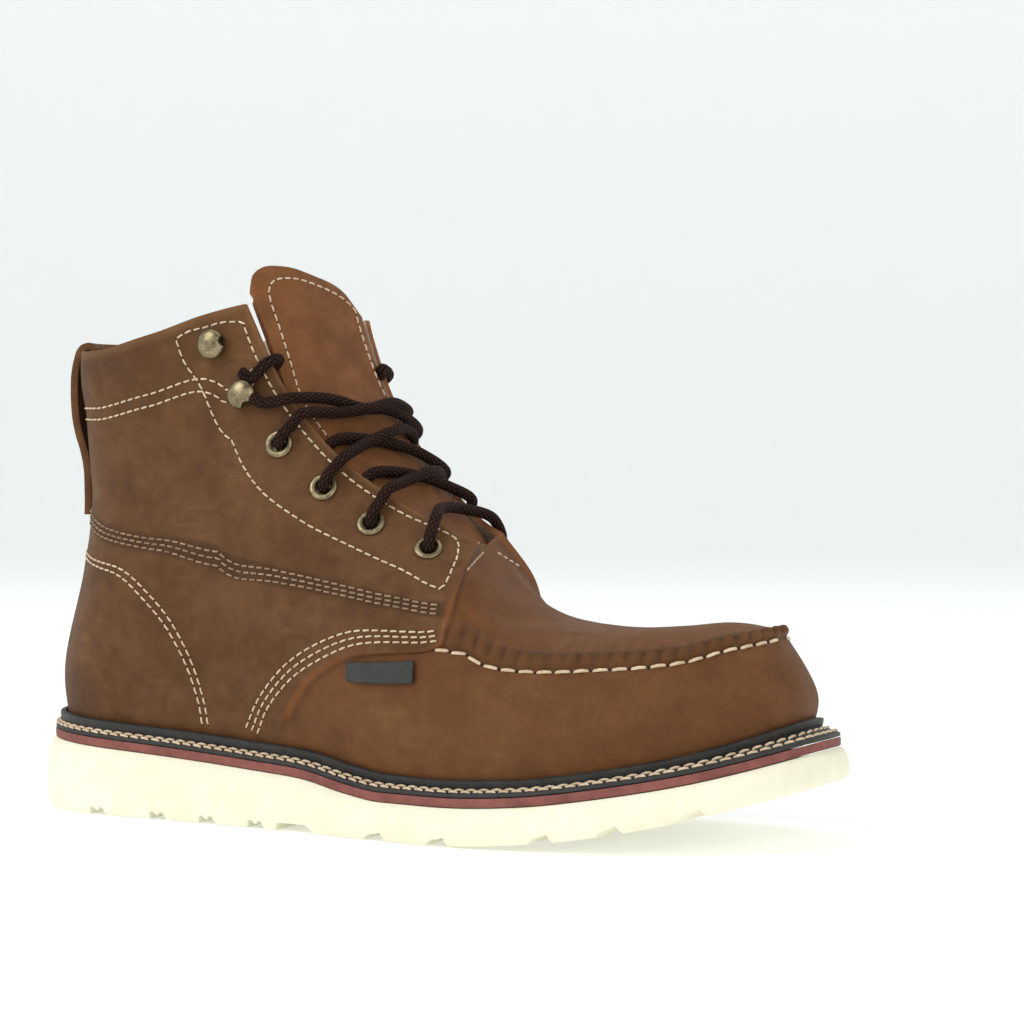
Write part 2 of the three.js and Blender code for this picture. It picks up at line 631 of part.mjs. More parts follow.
// A frame standing on the leather of the facings: Z away from it, X towards the toe.
function upperFrame(at, side, level, lift) {
  const away = upperNormal(at, side, level);
  const ahead = upperPoint(at + 0.01, side, level).sub(upperPoint(at - 0.01, side, level));
  ahead.addScaledVector(away, -ahead.dot(away)).normalize();
  const across = away.clone().cross(ahead);
  const frame = new THREE.Matrix4().makeBasis(ahead, across, away);
  return frame.setPosition(upperPoint(at, side, level).addScaledVector(away, relief(at, level) + lift));
}

// Columns of the upper, each named by the station where it meets the top line, with one
// at each corner of that line and two at the quarter's edge.
function upperColumns() {
  const zones = [
    { from: 0, to: COLLAR_CORNER, share: 0.3, denseStart: true },
    { from: COLLAR_CORNER, to: QUARTER_EDGE, share: 0.28 },
    { from: QUARTER_EDGE, to: QUARTER_EDGE + EDGE_GAP, share: 0 },
    { from: QUARTER_EDGE + EDGE_GAP, to: THROAT, share: 0.05 },
    { from: THROAT, to: 1, share: 0.37, denseEnd: true },
  ];
  const found = [0];
  for (const zone of zones) {
    const count = Math.max(1, Math.round(COLUMNS * zone.share));
    for (let i = 1; i <= count; i += 1) {
      const t = i / count;
      let share = t;
      if (zone.denseStart) share = 1 - Math.cos((Math.PI / 2) * t);
      if (zone.denseEnd) share = Math.sin((Math.PI / 2) * t);
      found.push(zone.from + (zone.to - zone.from) * share);
    }
  }
  return found;
}

// Station of a column at a level: the columns lean so that one follows the quarter's edge.
const quarterLine = column(QUARTER_LINE, 'station', 'level');

function stationOf(col, level) {
  const line = quarterLine(level);
  if (col <= QUARTER_EDGE) return (col / QUARTER_EDGE) * line;
  return line + ((col - QUARTER_EDGE) / (1 - QUARTER_EDGE)) * (1 - line);
}

// The gathered ridge that stands over the moc seam, from quarter to quarter.
const MOC_PROFILE = [
  { level: 2, tall: 0 },
  { level: 2.07, tall: 0.8 },
  { level: 2.2, tall: 1 },
  { level: 2.33, tall: 0.7 },
  { level: 2.42, tall: 0 },
];
const mocTall = column(MOC_PROFILE, 'tall', 'level');

// Height of the outer face over the plain surface, at a column and level.
function relief(col, level) {
  if (col > QUARTER_EDGE + EDGE_GAP / 2) {
    const onSeam = level > MOC_PROFILE[0].level && level < MOC_PROFILE.at(-1).level;
    return onSeam ? MOC_RIDGE * mocTall(level) : 0;
  }
  const behind = (QUARTER_EDGE - col) / QUARTER_FADE;
  const overRand = THREE.MathUtils.clamp((level - 0.35) / 0.3, 0, 1);
  return QUARTER_STEP * Math.max(0, 1 - behind) * overRand;
}

function upperSurface() {
  const cols = upperColumns();
  const parts = [OUTER, INNER].map((side) => {
    const rows = ROW_LEVELS.map((level) => cols.map((col) => upperPoint(stationOf(col, level), side, level)));
    const places = ROW_LEVELS.map((level) => cols.map((col) => [col, level]));
    return sheet(rows, places, side === INNER);
  });
  const offset = parts[0].attributes.position.count;
  const surface = geometryOf(
    parts.flatMap((part) => Array.from(part.attributes.position.array)),
    [...parts[0].index.array, ...Array.from(parts[1].index.array).map((index) => index + offset)],
  );
  const places = parts.flatMap((part) => Array.from(part.attributes.place.array));
  surface.setAttribute('place', new THREE.Float32BufferAttribute(places, 2));
  return surface;
}

// Pieces

function outsoleGeometry() {
  const blank = loft([
    ring(() => TREAD_INSET, (s) => soleBottom(s)),
    ring(() => 0, (s) => soleBottom(s) + TREAD_CHAMFER),
    ring(() => 0, (s) => soleTop(s) - SOLE_SHOULDER),
    ring(() => MIDSOLE_INSET * 0.3, (s) => soleTop(s) - SOLE_SHOULDER * 0.45),
    ring(() => MIDSOLE_INSET, (s) => soleTop(s)),
  ], false);
  let sole = toSolid(blank);
  for (const cut of treadCuts()) sole = sole.subtract(toSolid(cut));
  return toGeometry(sole.simplify(SLIVER));
}

// Prism across the whole sole with a section in X and Z, standing at a station.
function acrossSole(section, at, lift, tilt = 0) {
  const width = 3 * HALF_WIDTH;
  const shape = new THREE.Shape(section.map(([x, z]) => new THREE.Vector2(x, z)));
  const prism = new THREE.ExtrudeGeometry(shape, { depth: width, bevelEnabled: false, steps: 1 });
  prism.translate(0, 0, -width / 2);
  prism.rotateX(Math.PI / 2);
  prism.rotateY(-tilt);
  prism.translate((at - 0.5) * LENGTH, 0, lift);
  return prism;
}

function treadCuts() {
  const half = GROOVE_WIDTH / 2;
  const floor = -HEEL_BEVEL - 1;
  const heelSection = [
    [-half, floor], [half, floor], [half, 0], [half * 0.72, GROOVE_DEPTH], [half * 0.34, GROOVE_DEPTH],
    [0, GROOVE_DEPTH - GROOVE_TOOTH], [-half * 0.34, GROOVE_DEPTH], [-half * 0.72, GROOVE_DEPTH], [-half, 0],
  ];
  const notch = NOTCH_WIDTH / 2;
  const foreSection = [
    [-notch, floor], [notch, floor], [notch, 0], [notch * 0.7, NOTCH_DEPTH],
    [notch * 0.2, NOTCH_DEPTH * 0.75], [-notch * 0.35, NOTCH_DEPTH * 0.7], [-notch, 0],
  ];
  const gapHalf = ((ARCH_GAP.to - ARCH_GAP.from) * LENGTH) / 2;
  const gapSection = [
    [-gapHalf, floor], [gapHalf, floor], [gapHalf, 0], [gapHalf - ARCH_GAP.depth, ARCH_GAP.depth],
    [-gapHalf + ARCH_GAP.depth * 0.5, ARCH_GAP.depth], [-gapHalf, 0],
  ];
  const slope = (at) => Math.atan2(soleBottom(at + 0.01) - soleBottom(at - 0.01), 0.02 * LENGTH);
  return [
    ...HEEL_GROOVES.map(({ at }) => acrossSole(heelSection, at, 0)),
    ...FORE_GROOVES.map(({ at }) => acrossSole(foreSection, at, soleBottom(at), slope(at))),
    acrossSole(gapSection, (ARCH_GAP.from + ARCH_GAP.to) / 2, 0),
  ];
}

function midsoleGeometry() {
  return loft([
    ring(() => MIDSOLE_INSET, (s) => soleTop(s) + CLEARANCE),
    ring(() => MIDSOLE_INSET, (s) => midsoleTop(s)),
  ], false);
}

// Level of the upper at a share of the way up the rand.
function levelAtRand(at, side, share) {
  const height = seat(at) + (randTop(at) - seat(at)) * share;
  let low = 0;
  let high = 1;
  for (let i = 0; i < 20; i += 1) {
    const level = (low + high) / 2;
    if (upperPoint(at, side, level).z < height) low = level;
    else high = level;
  }
  return low;
}

// Ring that stands off the upper by a distance, at a share of the rand's height.
function againstUpper(share, distance, drop = 0) {
  return ringOf((at, side) => {
    const level = levelAtRand(at, side, share);
    const point = upperPoint(at, side, level);
    const away = upperNormal(at, side, level).setZ(0).normalize();
    return point.addScaledVector(away, distance).setZ(point.z - drop);
  });
}

// The welt with its stitched ledge and the rand that stands against the upper.
function weltGeometry() {
  return loft([
    ring(() => MIDSOLE_INSET, (s) => seat(s)),
    ring(() => MIDSOLE_INSET, (s) => seat(s) + WELT_LIP),
    againstUpper(0.5, RAND_GAP + RAND_THICK),
    againstUpper(1, RAND_GAP + RAND_THICK, RAND_THICK * 0.4),
    againstUpper(1, RAND_GAP + RAND_THICK * 0.6),
    againstUpper(1, RAND_GAP),
    againstUpper(0.5, RAND_GAP),
    againstUpper(0, RAND_GAP),
  ], true);
}

function insoleGeometry() {
  const depth = (s) => footDepth(s) + WALL + INSOLE_GAP;
  return loft([
    ring(depth, (s) => seat(s)),
    ring(depth, (s) => seat(s) + INSOLE_THICK),
  ], false);
}

function upperGeometry() {
  let upper = toSolid(thicken(upperSurface(), WALL, relief));
  for (const side of [OUTER, INNER]) {
    for (const { at, level } of EYELETS) {
      const radius = EYELET_BARREL / 2 + CLEARANCE;
      const punch = new THREE.CylinderGeometry(radius, radius, 5 * WALL, 12);
      punch.rotateX(Math.PI / 2);
      punch.applyMatrix4(upperFrame(at, side, level, -WALL / 2));
      upper = upper.subtract(toSolid(punch));
    }
  }
  return toGeometry(upper.simplify(SLIVER));
}

function eyeletGeometry() {
  const hole = EYELET_HOLE / 2;
  const barrel = EYELET_BARREL / 2;
  const flange = EYELET_FLANGE / 2;
  const foot = -WALL - CLEARANCE;
  const seatZ = CLEARANCE + 0.15;
  const profile = [
    [hole, foot], [barrel, foot], [barrel, seatZ], [flange, seatZ],
    [flange * 0.93, seatZ + EYELET_THICK * 0.8], [flange * 0.74, seatZ + EYELET_THICK],
    [hole, seatZ + EYELET_THICK * 0.3], [hole, foot],
  ].map(([x, y]) => new THREE.Vector2(x, y));
  return new THREE.LatheGeometry(profile, 12).rotateX(Math.PI / 2);
}

function hookGeometry() {
  const base = HOOK_BASE / 2;
  const stem = HOOK_STEM / 2;
  const cap = HOOK_CAP / 2;
  const seatZ = CLEARANCE + 0.1;
  const profile = [
    [0, seatZ], [base, seatZ], [base, seatZ + 0.8], [stem, seatZ + 1], [stem, HOOK_HEIGHT * 0.5],
    [cap, HOOK_HEIGHT * 0.52], [cap * 0.95, HOOK_HEIGHT * 0.72], [cap * 0.66, HOOK_HEIGHT * 0.92],
    [0, HOOK_HEIGHT],
  ].map(([x, y]) => new THREE.Vector2(x, y));
  return new THREE.LatheGeometry(profile, 12).rotateX(Math.PI / 2);
}

const TONGUE_ROWS = 16;
const TONGUE_COLUMNS = 12;
const TONGUE_FOOT = 0.57; // station where it comes up from under the vamp
const TONGUE_TAIL = [{ at: 0.7 }, { at: 0.675 }, { at: 0.65 }]; // its rows under the vamp
const TAIL_LEVELS = 0.6; // levels that it reaches to each side there
// Half extents across, in shares of the way from the centre to the edges of the facings,
// and the share of TONGUE_BULGE, with t from the foot (0) to the collar's corners (1).
const TONGUE_SPREAD = [
  { at: 0, outer: 1.1, inner: 1.1, bulge: 0.1 },
  { at: 0.3, outer: 1.12, inner: 1.12, bulge: 0.8 },
  { at: 0.62, outer: 1.08, inner: 1.1, bulge: 1 },
  { at: 0.8, outer: 0.9, inner: 0.98, bulge: 1 },
  { at: 1, outer: 0.84, inner: 0.92, bulge: 1 },
];
const tongueOuter = column(TONGUE_SPREAD, 'outer');
const tongueInner = column(TONGUE_SPREAD, 'inner');
const tongueBulge = column(TONGUE_SPREAD, 'bulge');
// Height of its upper edge, in shares of TONGUE_TOP, from the outer side (0) to the inner.
const TONGUE_EDGE = [
  { at: 0, rise: 0.1 },
  { at: 0.08, rise: 0.62 },
  { at: 0.25, rise: 0.94 },
  { at: 0.4, rise: 1 },
  { at: 0.65, rise: 0.78 },
  { at: 0.88, rise: 0.4 },
  { at: 1, rise: -0.1 },
];
const tongueEdge = column(TONGUE_EDGE, 'rise');

function underUpper(at, side, level) {
  return upperPoint(at, side, level).addScaledVector(upperNormal(at, side, level), -WALL - TONGUE_GAP);
}

// Outer face of the tongue: t along it, across from -1 at the outer facing's edge to 1.
function tonguePoint(t, across) {
  const at = TONGUE_FOOT + (COLLAR_CORNER - TONGUE_FOOT) * Math.min(t, 1);
  const left = underUpper(at, OUTER, TOP_LEVEL);
  const right = underUpper(at, INNER, TOP_LEVEL);
  const farLeft = underUpper(at, OUTER, TOP_LEVEL - 0.3);
  const farRight = underUpper(at, INNER, TOP_LEVEL - 0.3);
  const centre = left.clone().add(right).multiplyScalar(0.5);
  const next = topPoint(Math.min(at + 0.03, QUARTER_EDGE), OUTER).sub(topPoint(at, OUTER));
  const ahead = right.clone().sub(left).cross(next).normalize();
  centre.addScaledVector(ahead, Math.sign(ahead.x) * TONGUE_BULGE * tongueBulge(Math.min(t, 1)));
  const curve = new THREE.CatmullRomCurve3([farLeft, left, centre, right, farRight], false, 'centripetal');
  const spots = [-1 - left.distanceTo(farLeft) / left.distanceTo(centre), -1, 0, 1,
    1 + right.distanceTo(farRight) / right.distanceTo(centre)];
  let i = 0;
  while (i < 3 && across > spots[i + 1]) i += 1;
  const u = (i + (across - spots[i]) / (spots[i + 1] - spots[i])) / 4;
  return curve.getPoint(THREE.MathUtils.clamp(u, 0, 1));
}

function tongueRow(pointAt) {
  return Array.from({ length: TONGUE_COLUMNS + 1 }, (_, c) => pointAt(c / TONGUE_COLUMNS));
}

// Across the tongue at t, from its outer edge (0) to its inner one (1).
function tongueAcross(t, share) {
  return -tongueOuter(t) + (tongueOuter(t) + tongueInner(t)) * share;
}

function tongueGeometry() {
  const tail = TONGUE_TAIL.map(({ at }) => tongueRow((share) => {
    const across = tongueAcross(0, share);
    return underUpper(at, across < 0 ? OUTER : INNER, TOP_LEVEL - TAIL_LEVELS * Math.abs(across));
  }));
  const along = [];
  for (let r = 0; r <= TONGUE_ROWS; r += 1) {
    const t = r / TONGUE_ROWS;
    along.push(tongueRow((share) => tonguePoint(t, tongueAcross(t, share))));
  }
  const tip = [0.35, 0.7, 1].map((part) => along.at(-1).map((point, c) => {
    const rise = TONGUE_TOP * part * (tongueEdge(c / TONGUE_COLUMNS) + 0.12);
    return point.clone().addScaledVector(TONGUE_UP, rise);
  }));
  return thicken(sheet([...tail, ...along, ...tip], null, false), TONGUE_THICK);
}

// Strands of the lace, each from its eyelet or hook to its far end. A point with a level
// lies over a facing, one without it over the tongue; lift is its height over the gap that
// a lace keeps to the leather.
const BAR = [
  { side: OUTER, at: 0.578, level: 3.51, lift: 1.7 },
  { side: OUTER, at: 0.575, level: 3.97, lift: 0.9 },
  { at: 0.557, across: -0.35, lift: 1.2 },
  { at: 0.557, across: 0.35, lift: 1.2 },
  { side: INNER, at: 0.572, level: 3.97, lift: 0.9 },
  { side: INNER, at: 0.578, level: 3.51, lift: 1.7 },
];
const CROSS_2 = [
  [
    { side: OUTER, at: 0.51, level: 3.52, lift: 1.7 },
    { side: OUTER, at: 0.516, level: 3.8, lift: 0.7 },
    { side: OUTER, at: 0.52, level: 3.98, lift: 0.9 },
    { at: 0.515, across: -0.55, lift: 1.8 },
    { at: 0.501, across: 0.1, lift: 3.2 },
    { at: 0.49, across: 0.55, lift: 1.6 },
    { at: 0.482, across: 0.82, lift: 0.1 },
  ],
  [
    { side: INNER, at: 0.51, level: 3.52, lift: 1.7 },
    { side: INNER, at: 0.52, level: 3.8, lift: 0.7 },
    { side: INNER, at: 0.526, level: 3.98, lift: 0.9 },
    { at: 0.512, across: 0.6, lift: 0.6 },
    { at: 0.499, across: 0.15, lift: 0.2 },
    { at: 0.492, across: -0.45, lift: 0.1 },
    { at: 0.49, across: -0.8, lift: 0.1 },
  ],
];
const CROSS_1 = [
  [
    { side: OUTER, at: 0.442, level: 3.57, lift: 1.7 },
    { side: OUTER, at: 0.453, level: 3.82, lift: 0.7 },
    { side: OUTER, at: 0.461, level: 3.98, lift: 0.9 },
    { at: 0.452, across: -0.55, lift: 1.8 },
    { at: 0.434, across: 0.05, lift: 3.2 },
    { at: 0.421, across: 0.5, lift: 1.6 },
    { at: 0.418, across: 0.8, lift: 0.1 },
  ],
  [
    { side: INNER, at: 0.442, level: 3.57, lift: 1.7 },
    { side: INNER, at: 0.457, level: 3.82, lift: 0.7 },
    { side: INNER, at: 0.468, level: 3.98, lift: 0.9 },
    { at: 0.455, across: 0.6, lift: 0.6 },
    { at: 0.443, across: 0.1, lift: 0.2 },
    { at: 0.438, across: -0.45, lift: 0.1 },
    { at: 0.436, across: -0.8, lift: 0.1 },
  ],
];
const CROSS_TOP = [
  [
    { side: OUTER, at: 0.37, level: 3.56, lift: 1.7 },
    { side: OUTER, at: 0.386, level: 3.8, lift: 0.6 },
    { side: OUTER, at: 0.396, level: 3.96, lift: 1.9 },
    { at: 0.406, across: -0.5, lift: 1.6 },
    { at: 0.4, across: 0, lift: 3.2 },
    { at: 0.39, across: 0.5, lift: 3.4 },
    { side: INNER, at: 0.377, level: 3.97, lift: 1.7 },
    { side: INNER, at: 0.348, level: 3.78, lift: 0.4 },
    { side: INNER, at: 0.325, level: 3.66, lift: 0.4 },
  ],
  [
    { side: INNER, at: 0.37, level: 3.56, lift: 1.7 },
    { side: INNER, at: 0.39, level: 3.8, lift: 0.7 },
    { side: INNER, at: 0.4, level: 3.96, lift: 1.9 },
    { at: 0.397, across: 0.45, lift: 1.8 },
    { at: 0.394, across: 0, lift: 0.2 },
    { at: 0.388, across: -0.5, lift: 1.2 },
    { side: OUTER, at: 0.378, level: 3.98, lift: 1.7 },
    { side: OUTER, at: 0.354, level: 3.8, lift: 0.4 },
    { side: OUTER, at: 0.33, level: 3.67, lift: 0.4 },
  ],
];
const TAIL = [
  { at: 0.308, level: 3.7, lift: 0.4 },
  { at: 0.32, level: 3.82, lift: 0.4 },
  { at: 0.333, level: 3.97, lift: 0.4 },
];
const LACE_GAP = 0.4; // least gap between the lace and what it lies on
const LACE_SIDES = 8;

function tongueNormal(t, across) {
  const step = 0.02;
  const along = tonguePoint(t + step, across).sub(tonguePoint(t - step, across));
  const over = tonguePoint(t, across + step).sub(tonguePoint(t, across - step));
  const away = along.cross(over).normalize();
  return away.x < 0 ? away.negate() : away;
}

function lacePoint({ side, at, level, across, lift }) {
  const height = LACE / 2 + LACE_GAP + lift;
  if (level) return new THREE.Vector3().setFromMatrixPosition(upperFrame(at, side, level, height));
  const t = (TONGUE_FOOT - at) / (TONGUE_FOOT - COLLAR_CORNER);
  return tonguePoint(t, across).addScaledVector(tongueNormal(t, across), height);
}

function strandGeometry(rows) {
  const curve = new THREE.CatmullRomCurve3(rows.map(lacePoint), false, 'centripetal');
  const section = new THREE.Shape(
    new THREE.EllipseCurve(0, 0, LACE / 2, LACE / 2).getPoints(LACE_SIDES).slice(0, -1),
  );
  const steps = Math.ceil(curve.getLength() / (1.2 * LACE));
  return new THREE.ExtrudeGeometry(section, { steps, bevelEnabled: false, extrudePath: curve });
}

function crossingGeometry([over, under]) {
  const crossing = toSolid(strandGeometry(over)).add(toSolid(strandGeometry(under)));
  return toGeometry(crossing.simplify(SLIVER));
}

// Outer face of the pull loop along its middle: off is its distance from the leather at the
// back seam, in multiples of LOOP_THICK, and up its height over the collar's edge there.
const LOOP_PATH = [
  { off: 1.13, up: -59.5 },
  { off: 1.13, up: -50.5 },
  { off: 1.15, up: -42.5 },
  { off: 1.5, up: -36 },
  { off: 2, up: -30.5 },
  { off: 2.32, up: -24.5 },
  { off: 2.36, up: -19 },
  { off: 2.28, up: -13.5 },
  { off: 2.02, up: -7.5 },
  { off: 1.55, up: -2.5 },
  { off: 0.95, up: 1.4 },
  { off: 0.2, up: 3.2 },
  { off: -0.8, up: 3.7 },
  { off: -1.7, up: 2.3 },
  { off: -2.05, up: -0.6 },
  { off: -2.05, up: -5.5 },
  { off: -2.05, up: -11.5 },
];
const LOOP_COLUMNS = 6;

// Frame on the leather near the back seam at a height and at a distance from the seam.
function backPlace(aside, height) {
  const side = Math.sign(aside) || OUTER;
  const levelAt = (at) => {
    let low = 0;
    let high = TOP_LEVEL;
    for (let i = 0; i < 24; i += 1) {
      const level = (low + high) / 2;
      if (upperPoint(at, side, level).z < height) low = level;
      else high = level;
    }
    return low;
  };
  let near = 0;
  let far = 0.12;
  const seam = upperPoint(0, side, levelAt(0)).y;
  for (let i = 0; i < 24; i += 1) {
    const at = (near + far) / 2;
    if (Math.abs(upperPoint(at, side, levelAt(at)).y - seam) < Math.abs(aside)) near = at;
    else far = at;
  }
  const level = levelAt(near);
  const away = upperNormal(Math.max(near, 1e-5), side, level).setZ(0).normalize();
  return { point: upperPoint(near, side, level), away };
}

function loopGeometry() {
  const collar = topPoint(0, OUTER).z;
  const rows = LOOP_PATH.map(({ off, up }) => {
    const row = [];
    for (let c = 0; c <= LOOP_COLUMNS; c += 1) {
      const aside = LOOP_WIDTH * (c / LOOP_COLUMNS - 0.5);
      const { point, away } = backPlace(aside, collar + Math.min(up, -0.5));
      row.push(point.addScaledVector(away, off * LOOP_THICK).setZ(collar + up));
    }
    return row;
  });
  return thicken(sheet(rows, null, true), LOOP_THICK);
}

// Lower and upper edge of the tab, from its rear end to its front one.
const TAB_EDGES = [
  { at: 0.492, low: 1.38, high: 1.585 },
  { at: 0.578, low: 1.48, high: 1.765 },
];
const TAB_STEPS = 6;

function tabGeometry() {
  const low = column(TAB_EDGES, 'low');
  const high = column(TAB_EDGES, 'high');
  const rows = [0, 1, 2].map((row) => {
    const points = [];
    for (let i = 0; i <= TAB_STEPS; i += 1) {
      const at = THREE.MathUtils.lerp(TAB_EDGES[0].at, TAB_EDGES[1].at, i / TAB_STEPS);
      const level = THREE.MathUtils.lerp(low(at), high(at), row / 2);
      const away = upperNormal(at, OUTER, level);
      points.push(upperPoint(at, OUTER, level).addScaledVector(away, CLEARANCE + TAB_THICK));
    }
    return points;
  });
  return thicken(sheet(rows, null), TAB_THICK);
}

// Assembly

const leather = { color: 0x6a4526, roughness: 0.75, metalness: 0 };
const materials = {
  sole: new THREE.MeshStandardMaterial({ color: 0xf3ecd0, roughness: 0.7, metalness: 0 }),
  red: new THREE.MeshStandardMaterial({ color: 0x8a4840, roughness: 0.7, metalness: 0 }),
  welt: new THREE.MeshStandardMaterial({ color: 0x2c2a27, roughness: 0.65, metalness: 0 }),
  leather: new THREE.MeshStandardMaterial(leather),
  tongue: new THREE.MeshStandardMaterial({ ...leather, color: 0x7a4a28 }),
  insole: new THREE.MeshStandardMaterial({ color: 0xb9a37f, roughness: 0.9, metalness: 0 }),
  brass: new THREE.MeshStandardMaterial({ color: 0x8a8062, roughness: 0.4, metalness: 0.9 }),
  lace: new THREE.MeshStandardMaterial({ color: 0x3a2620, roughness: 0.85, metalness: 0 }),
  tab: new THREE.MeshStandardMaterial({ color: 0x2c2a27, roughness: 0.6, metalness: 0 }),
};

const boot = new THREE.Group();
boot.name = 'work_boot';

function addPiece(name, geometry, material) {
  const mesh = new THREE.Mesh(geometry, material);
  mesh.name = name;
  boot.add(mesh);
  return mesh;
}

function placeOn(mesh, at, side, level) {
  upperFrame(at, side, level, 0).decompose(mesh.position, mesh.quaternion, mesh.scale);
}

addPiece('outsole', outsoleGeometry(), materials.sole);
addPiece('midsole', midsoleGeometry(), materials.red);
addPiece('welt', weltGeometry(), materials.welt);
addPiece('insole', insoleGeometry(), materials.insole);
addPiece('upper', upperGeometry(), materials.leather);
addPiece('tongue', tongueGeometry(), materials.tongue);
for (const side of [OUTER, INNER]) {
  const which = side === OUTER ? 'outer' : 'inner';
  for (const { name, at, level } of EYELETS) {
    placeOn(addPiece(`${name}_${which}`, eyeletGeometry(), materials.brass), at, side, level);
  }
  for (const { name, at, level } of HOOKS) {
    placeOn(addPiece(`${name}_${which}`, hookGeometry(), materials.brass), at, side, level);
  }
  addPiece(`lace_tail_${which}`, strandGeometry(TAIL.map((row) => ({ ...row, side }))), materials.lace);
}
addPiece('lace_bar', strandGeometry(BAR), materials.lace);
addPiece('lace_cross_2', crossingGeometry(CROSS_2), materials.lace);
addPiece('lace_cross_1', crossingGeometry(CROSS_1), materials.lace);
addPiece('lace_cross_top', crossingGeometry(CROSS_TOP), materials.lace);
addPiece('pull_loop', loopGeometry(), materials.leather);
addPiece('side_tab', tabGeometry(), materials.tab);

export default boot;
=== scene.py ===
"""Visual model of the wedge sole work boot, a right boot, round its fixed frame.

Lengths are written in millimetres and become metres where a mesh is made. The boot's
surfaces come from the same footprint, ribs and top line as its solids, at a finer step.
"""

import logging
import math
from dataclasses import dataclass, field
from enum import Enum
from typing import Callable, Iterable, Sequence

import bmesh
import bpy
import numpy as np
from mathutils import Matrix, Vector


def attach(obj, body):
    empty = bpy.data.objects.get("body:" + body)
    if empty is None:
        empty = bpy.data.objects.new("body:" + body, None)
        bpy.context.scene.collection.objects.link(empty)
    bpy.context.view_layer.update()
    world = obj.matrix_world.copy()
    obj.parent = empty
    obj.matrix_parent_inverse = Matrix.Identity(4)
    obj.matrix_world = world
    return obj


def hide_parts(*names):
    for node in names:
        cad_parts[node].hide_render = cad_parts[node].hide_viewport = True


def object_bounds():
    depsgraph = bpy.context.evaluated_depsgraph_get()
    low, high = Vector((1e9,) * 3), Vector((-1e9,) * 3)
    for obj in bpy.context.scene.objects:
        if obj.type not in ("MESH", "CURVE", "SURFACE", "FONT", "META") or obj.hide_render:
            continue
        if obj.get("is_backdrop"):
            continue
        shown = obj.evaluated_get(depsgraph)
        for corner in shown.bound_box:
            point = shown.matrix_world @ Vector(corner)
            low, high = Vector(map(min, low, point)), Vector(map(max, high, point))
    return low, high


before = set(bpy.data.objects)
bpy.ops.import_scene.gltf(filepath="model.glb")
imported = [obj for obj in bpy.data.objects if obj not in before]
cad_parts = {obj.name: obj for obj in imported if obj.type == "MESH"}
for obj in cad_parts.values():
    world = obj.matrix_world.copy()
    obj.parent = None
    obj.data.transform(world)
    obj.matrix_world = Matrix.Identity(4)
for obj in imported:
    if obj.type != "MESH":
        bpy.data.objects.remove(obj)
CAD_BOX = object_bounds()
LOG = logging.getLogger("boot")

MM = 0.001
OUTER = -1
INNER = 1
LENGTH = 304.0
HALF_WIDTH = 53.0
HEEL_ROUND = 46.0
TOE_ROUND = 66.0
HEEL_SQUARENESS = 2.3
TOE_SQUARENESS = 2.5
SOLE_REAR = 25.5
TOE_SPRING = 21.5
TOE_SPRING_START = 0.58
MIDSOLE_INSET = 3.0
MIDSOLE_THICK = 3.0
CLEARANCE = 0.3
RAND_HEEL = 6.2
RAND_TOE = 5.2
WALL = 2.2
COLLAR_FRONT = 180.0
INSTEP = 97.5
VAMP_LOW = 69.3
THROAT = 0.64
COLLAR_CORNER = 0.28
QUARTER_EDGE = 0.62
EDGE_GAP = 0.004
QUARTER_STEP = 1.3
QUARTER_FADE = 0.07
MOC_RIDGE = 2.3
TOP_LEVEL = 4.0
TONGUE_GAP = 1.0
TONGUE_BULGE = 4.0
TONGUE_FOOT = 0.57
TONGUE_TOP = 13.0
PLEAT_PITCH = 5.2
COLLAR_ROLL = 0.9
COLLAR_SEAM_LEVEL = 3.63
MOC_MIDDLE = 2.15
MOC_STITCH_LEVEL = 1.93
# Millimetres to a station and to a level, near enough for distances on the upper.
PLACE_SCALE = np.array([290.0, 34.0])


def rows(names: str, text: str) -> dict[str, np.ndarray]:
    """A short table, one line per section.

    Args:
        names: Column names, set apart by blanks.
        text: The lines; the word corner after one breaks its smoothness.

    Returns:
        Columns by name, and corner as the marked lines' numbers.
    """
    lines = [line.split() for line in text.strip().splitlines()]
    keys = names.split()
    table = {key: np.array([float(line[i]) for line in lines]) for i, key in enumerate(keys)}
    table["corner"] = np.array([i for i, line in enumerate(lines) if line[-1] == "corner"], int)
    return table


FOOTPRINT = rows("at outer inner", """
    0 0.591 0.774
    0.06 0.623 0.792
    0.14 0.658 0.811
    0.28 0.711 0.802
    0.42 0.811 0.811
    0.55 0.938 0.896
    0.66 1 0.972
    0.78 0.95 1
    0.88 0.83 1.01
    0.95 0.72 0.98
    1 0.62 0.93
""")
SOLE_TOP = rows("at thick spring", """
    0 1 0
    0.13 0.918 0
    0.22 0.859 0
    0.35 0.757 0
    0.42 0.698 0
    0.486 0.553 0
    0.535 0.482 0
    0.6 0.478 0
    0.7 0.465 0.081
    0.8 0.466 0.274
    0.9 0.439 0.58
    1 0.435 1
""")
FOOT_DEPTH = rows("at depth", """
    0 2.6
    0.25 3
    0.5 3.33
    0.8 3.67
    1 4.07
""")
RAND = rows("at tall", """
    0 0.9
    0.45 1
    0.6 0.2
    1 0
""")
TOP_OUTER = rows("at x y up", """
    0 -0.459 0.075 0.824
    0.03 -0.444 -0.19 0.825
    0.08 -0.397 -0.405 0.821
    0.16 -0.303 -0.519 0.884
    0.22 -0.237 -0.509 0.954
    0.28 -0.18 -0.472 1 corner
    0.31 -0.161 -0.462 0.855
    0.36 -0.132 -0.453 0.661
    0.44 -0.072 -0.425 0.394
    0.52 0 -0.396 0.2
    0.58 0.063 -0.358 0.073
    0.62 0.102 -0.302 0 corner
    0.64 0.086 0.038 -0.012
""")
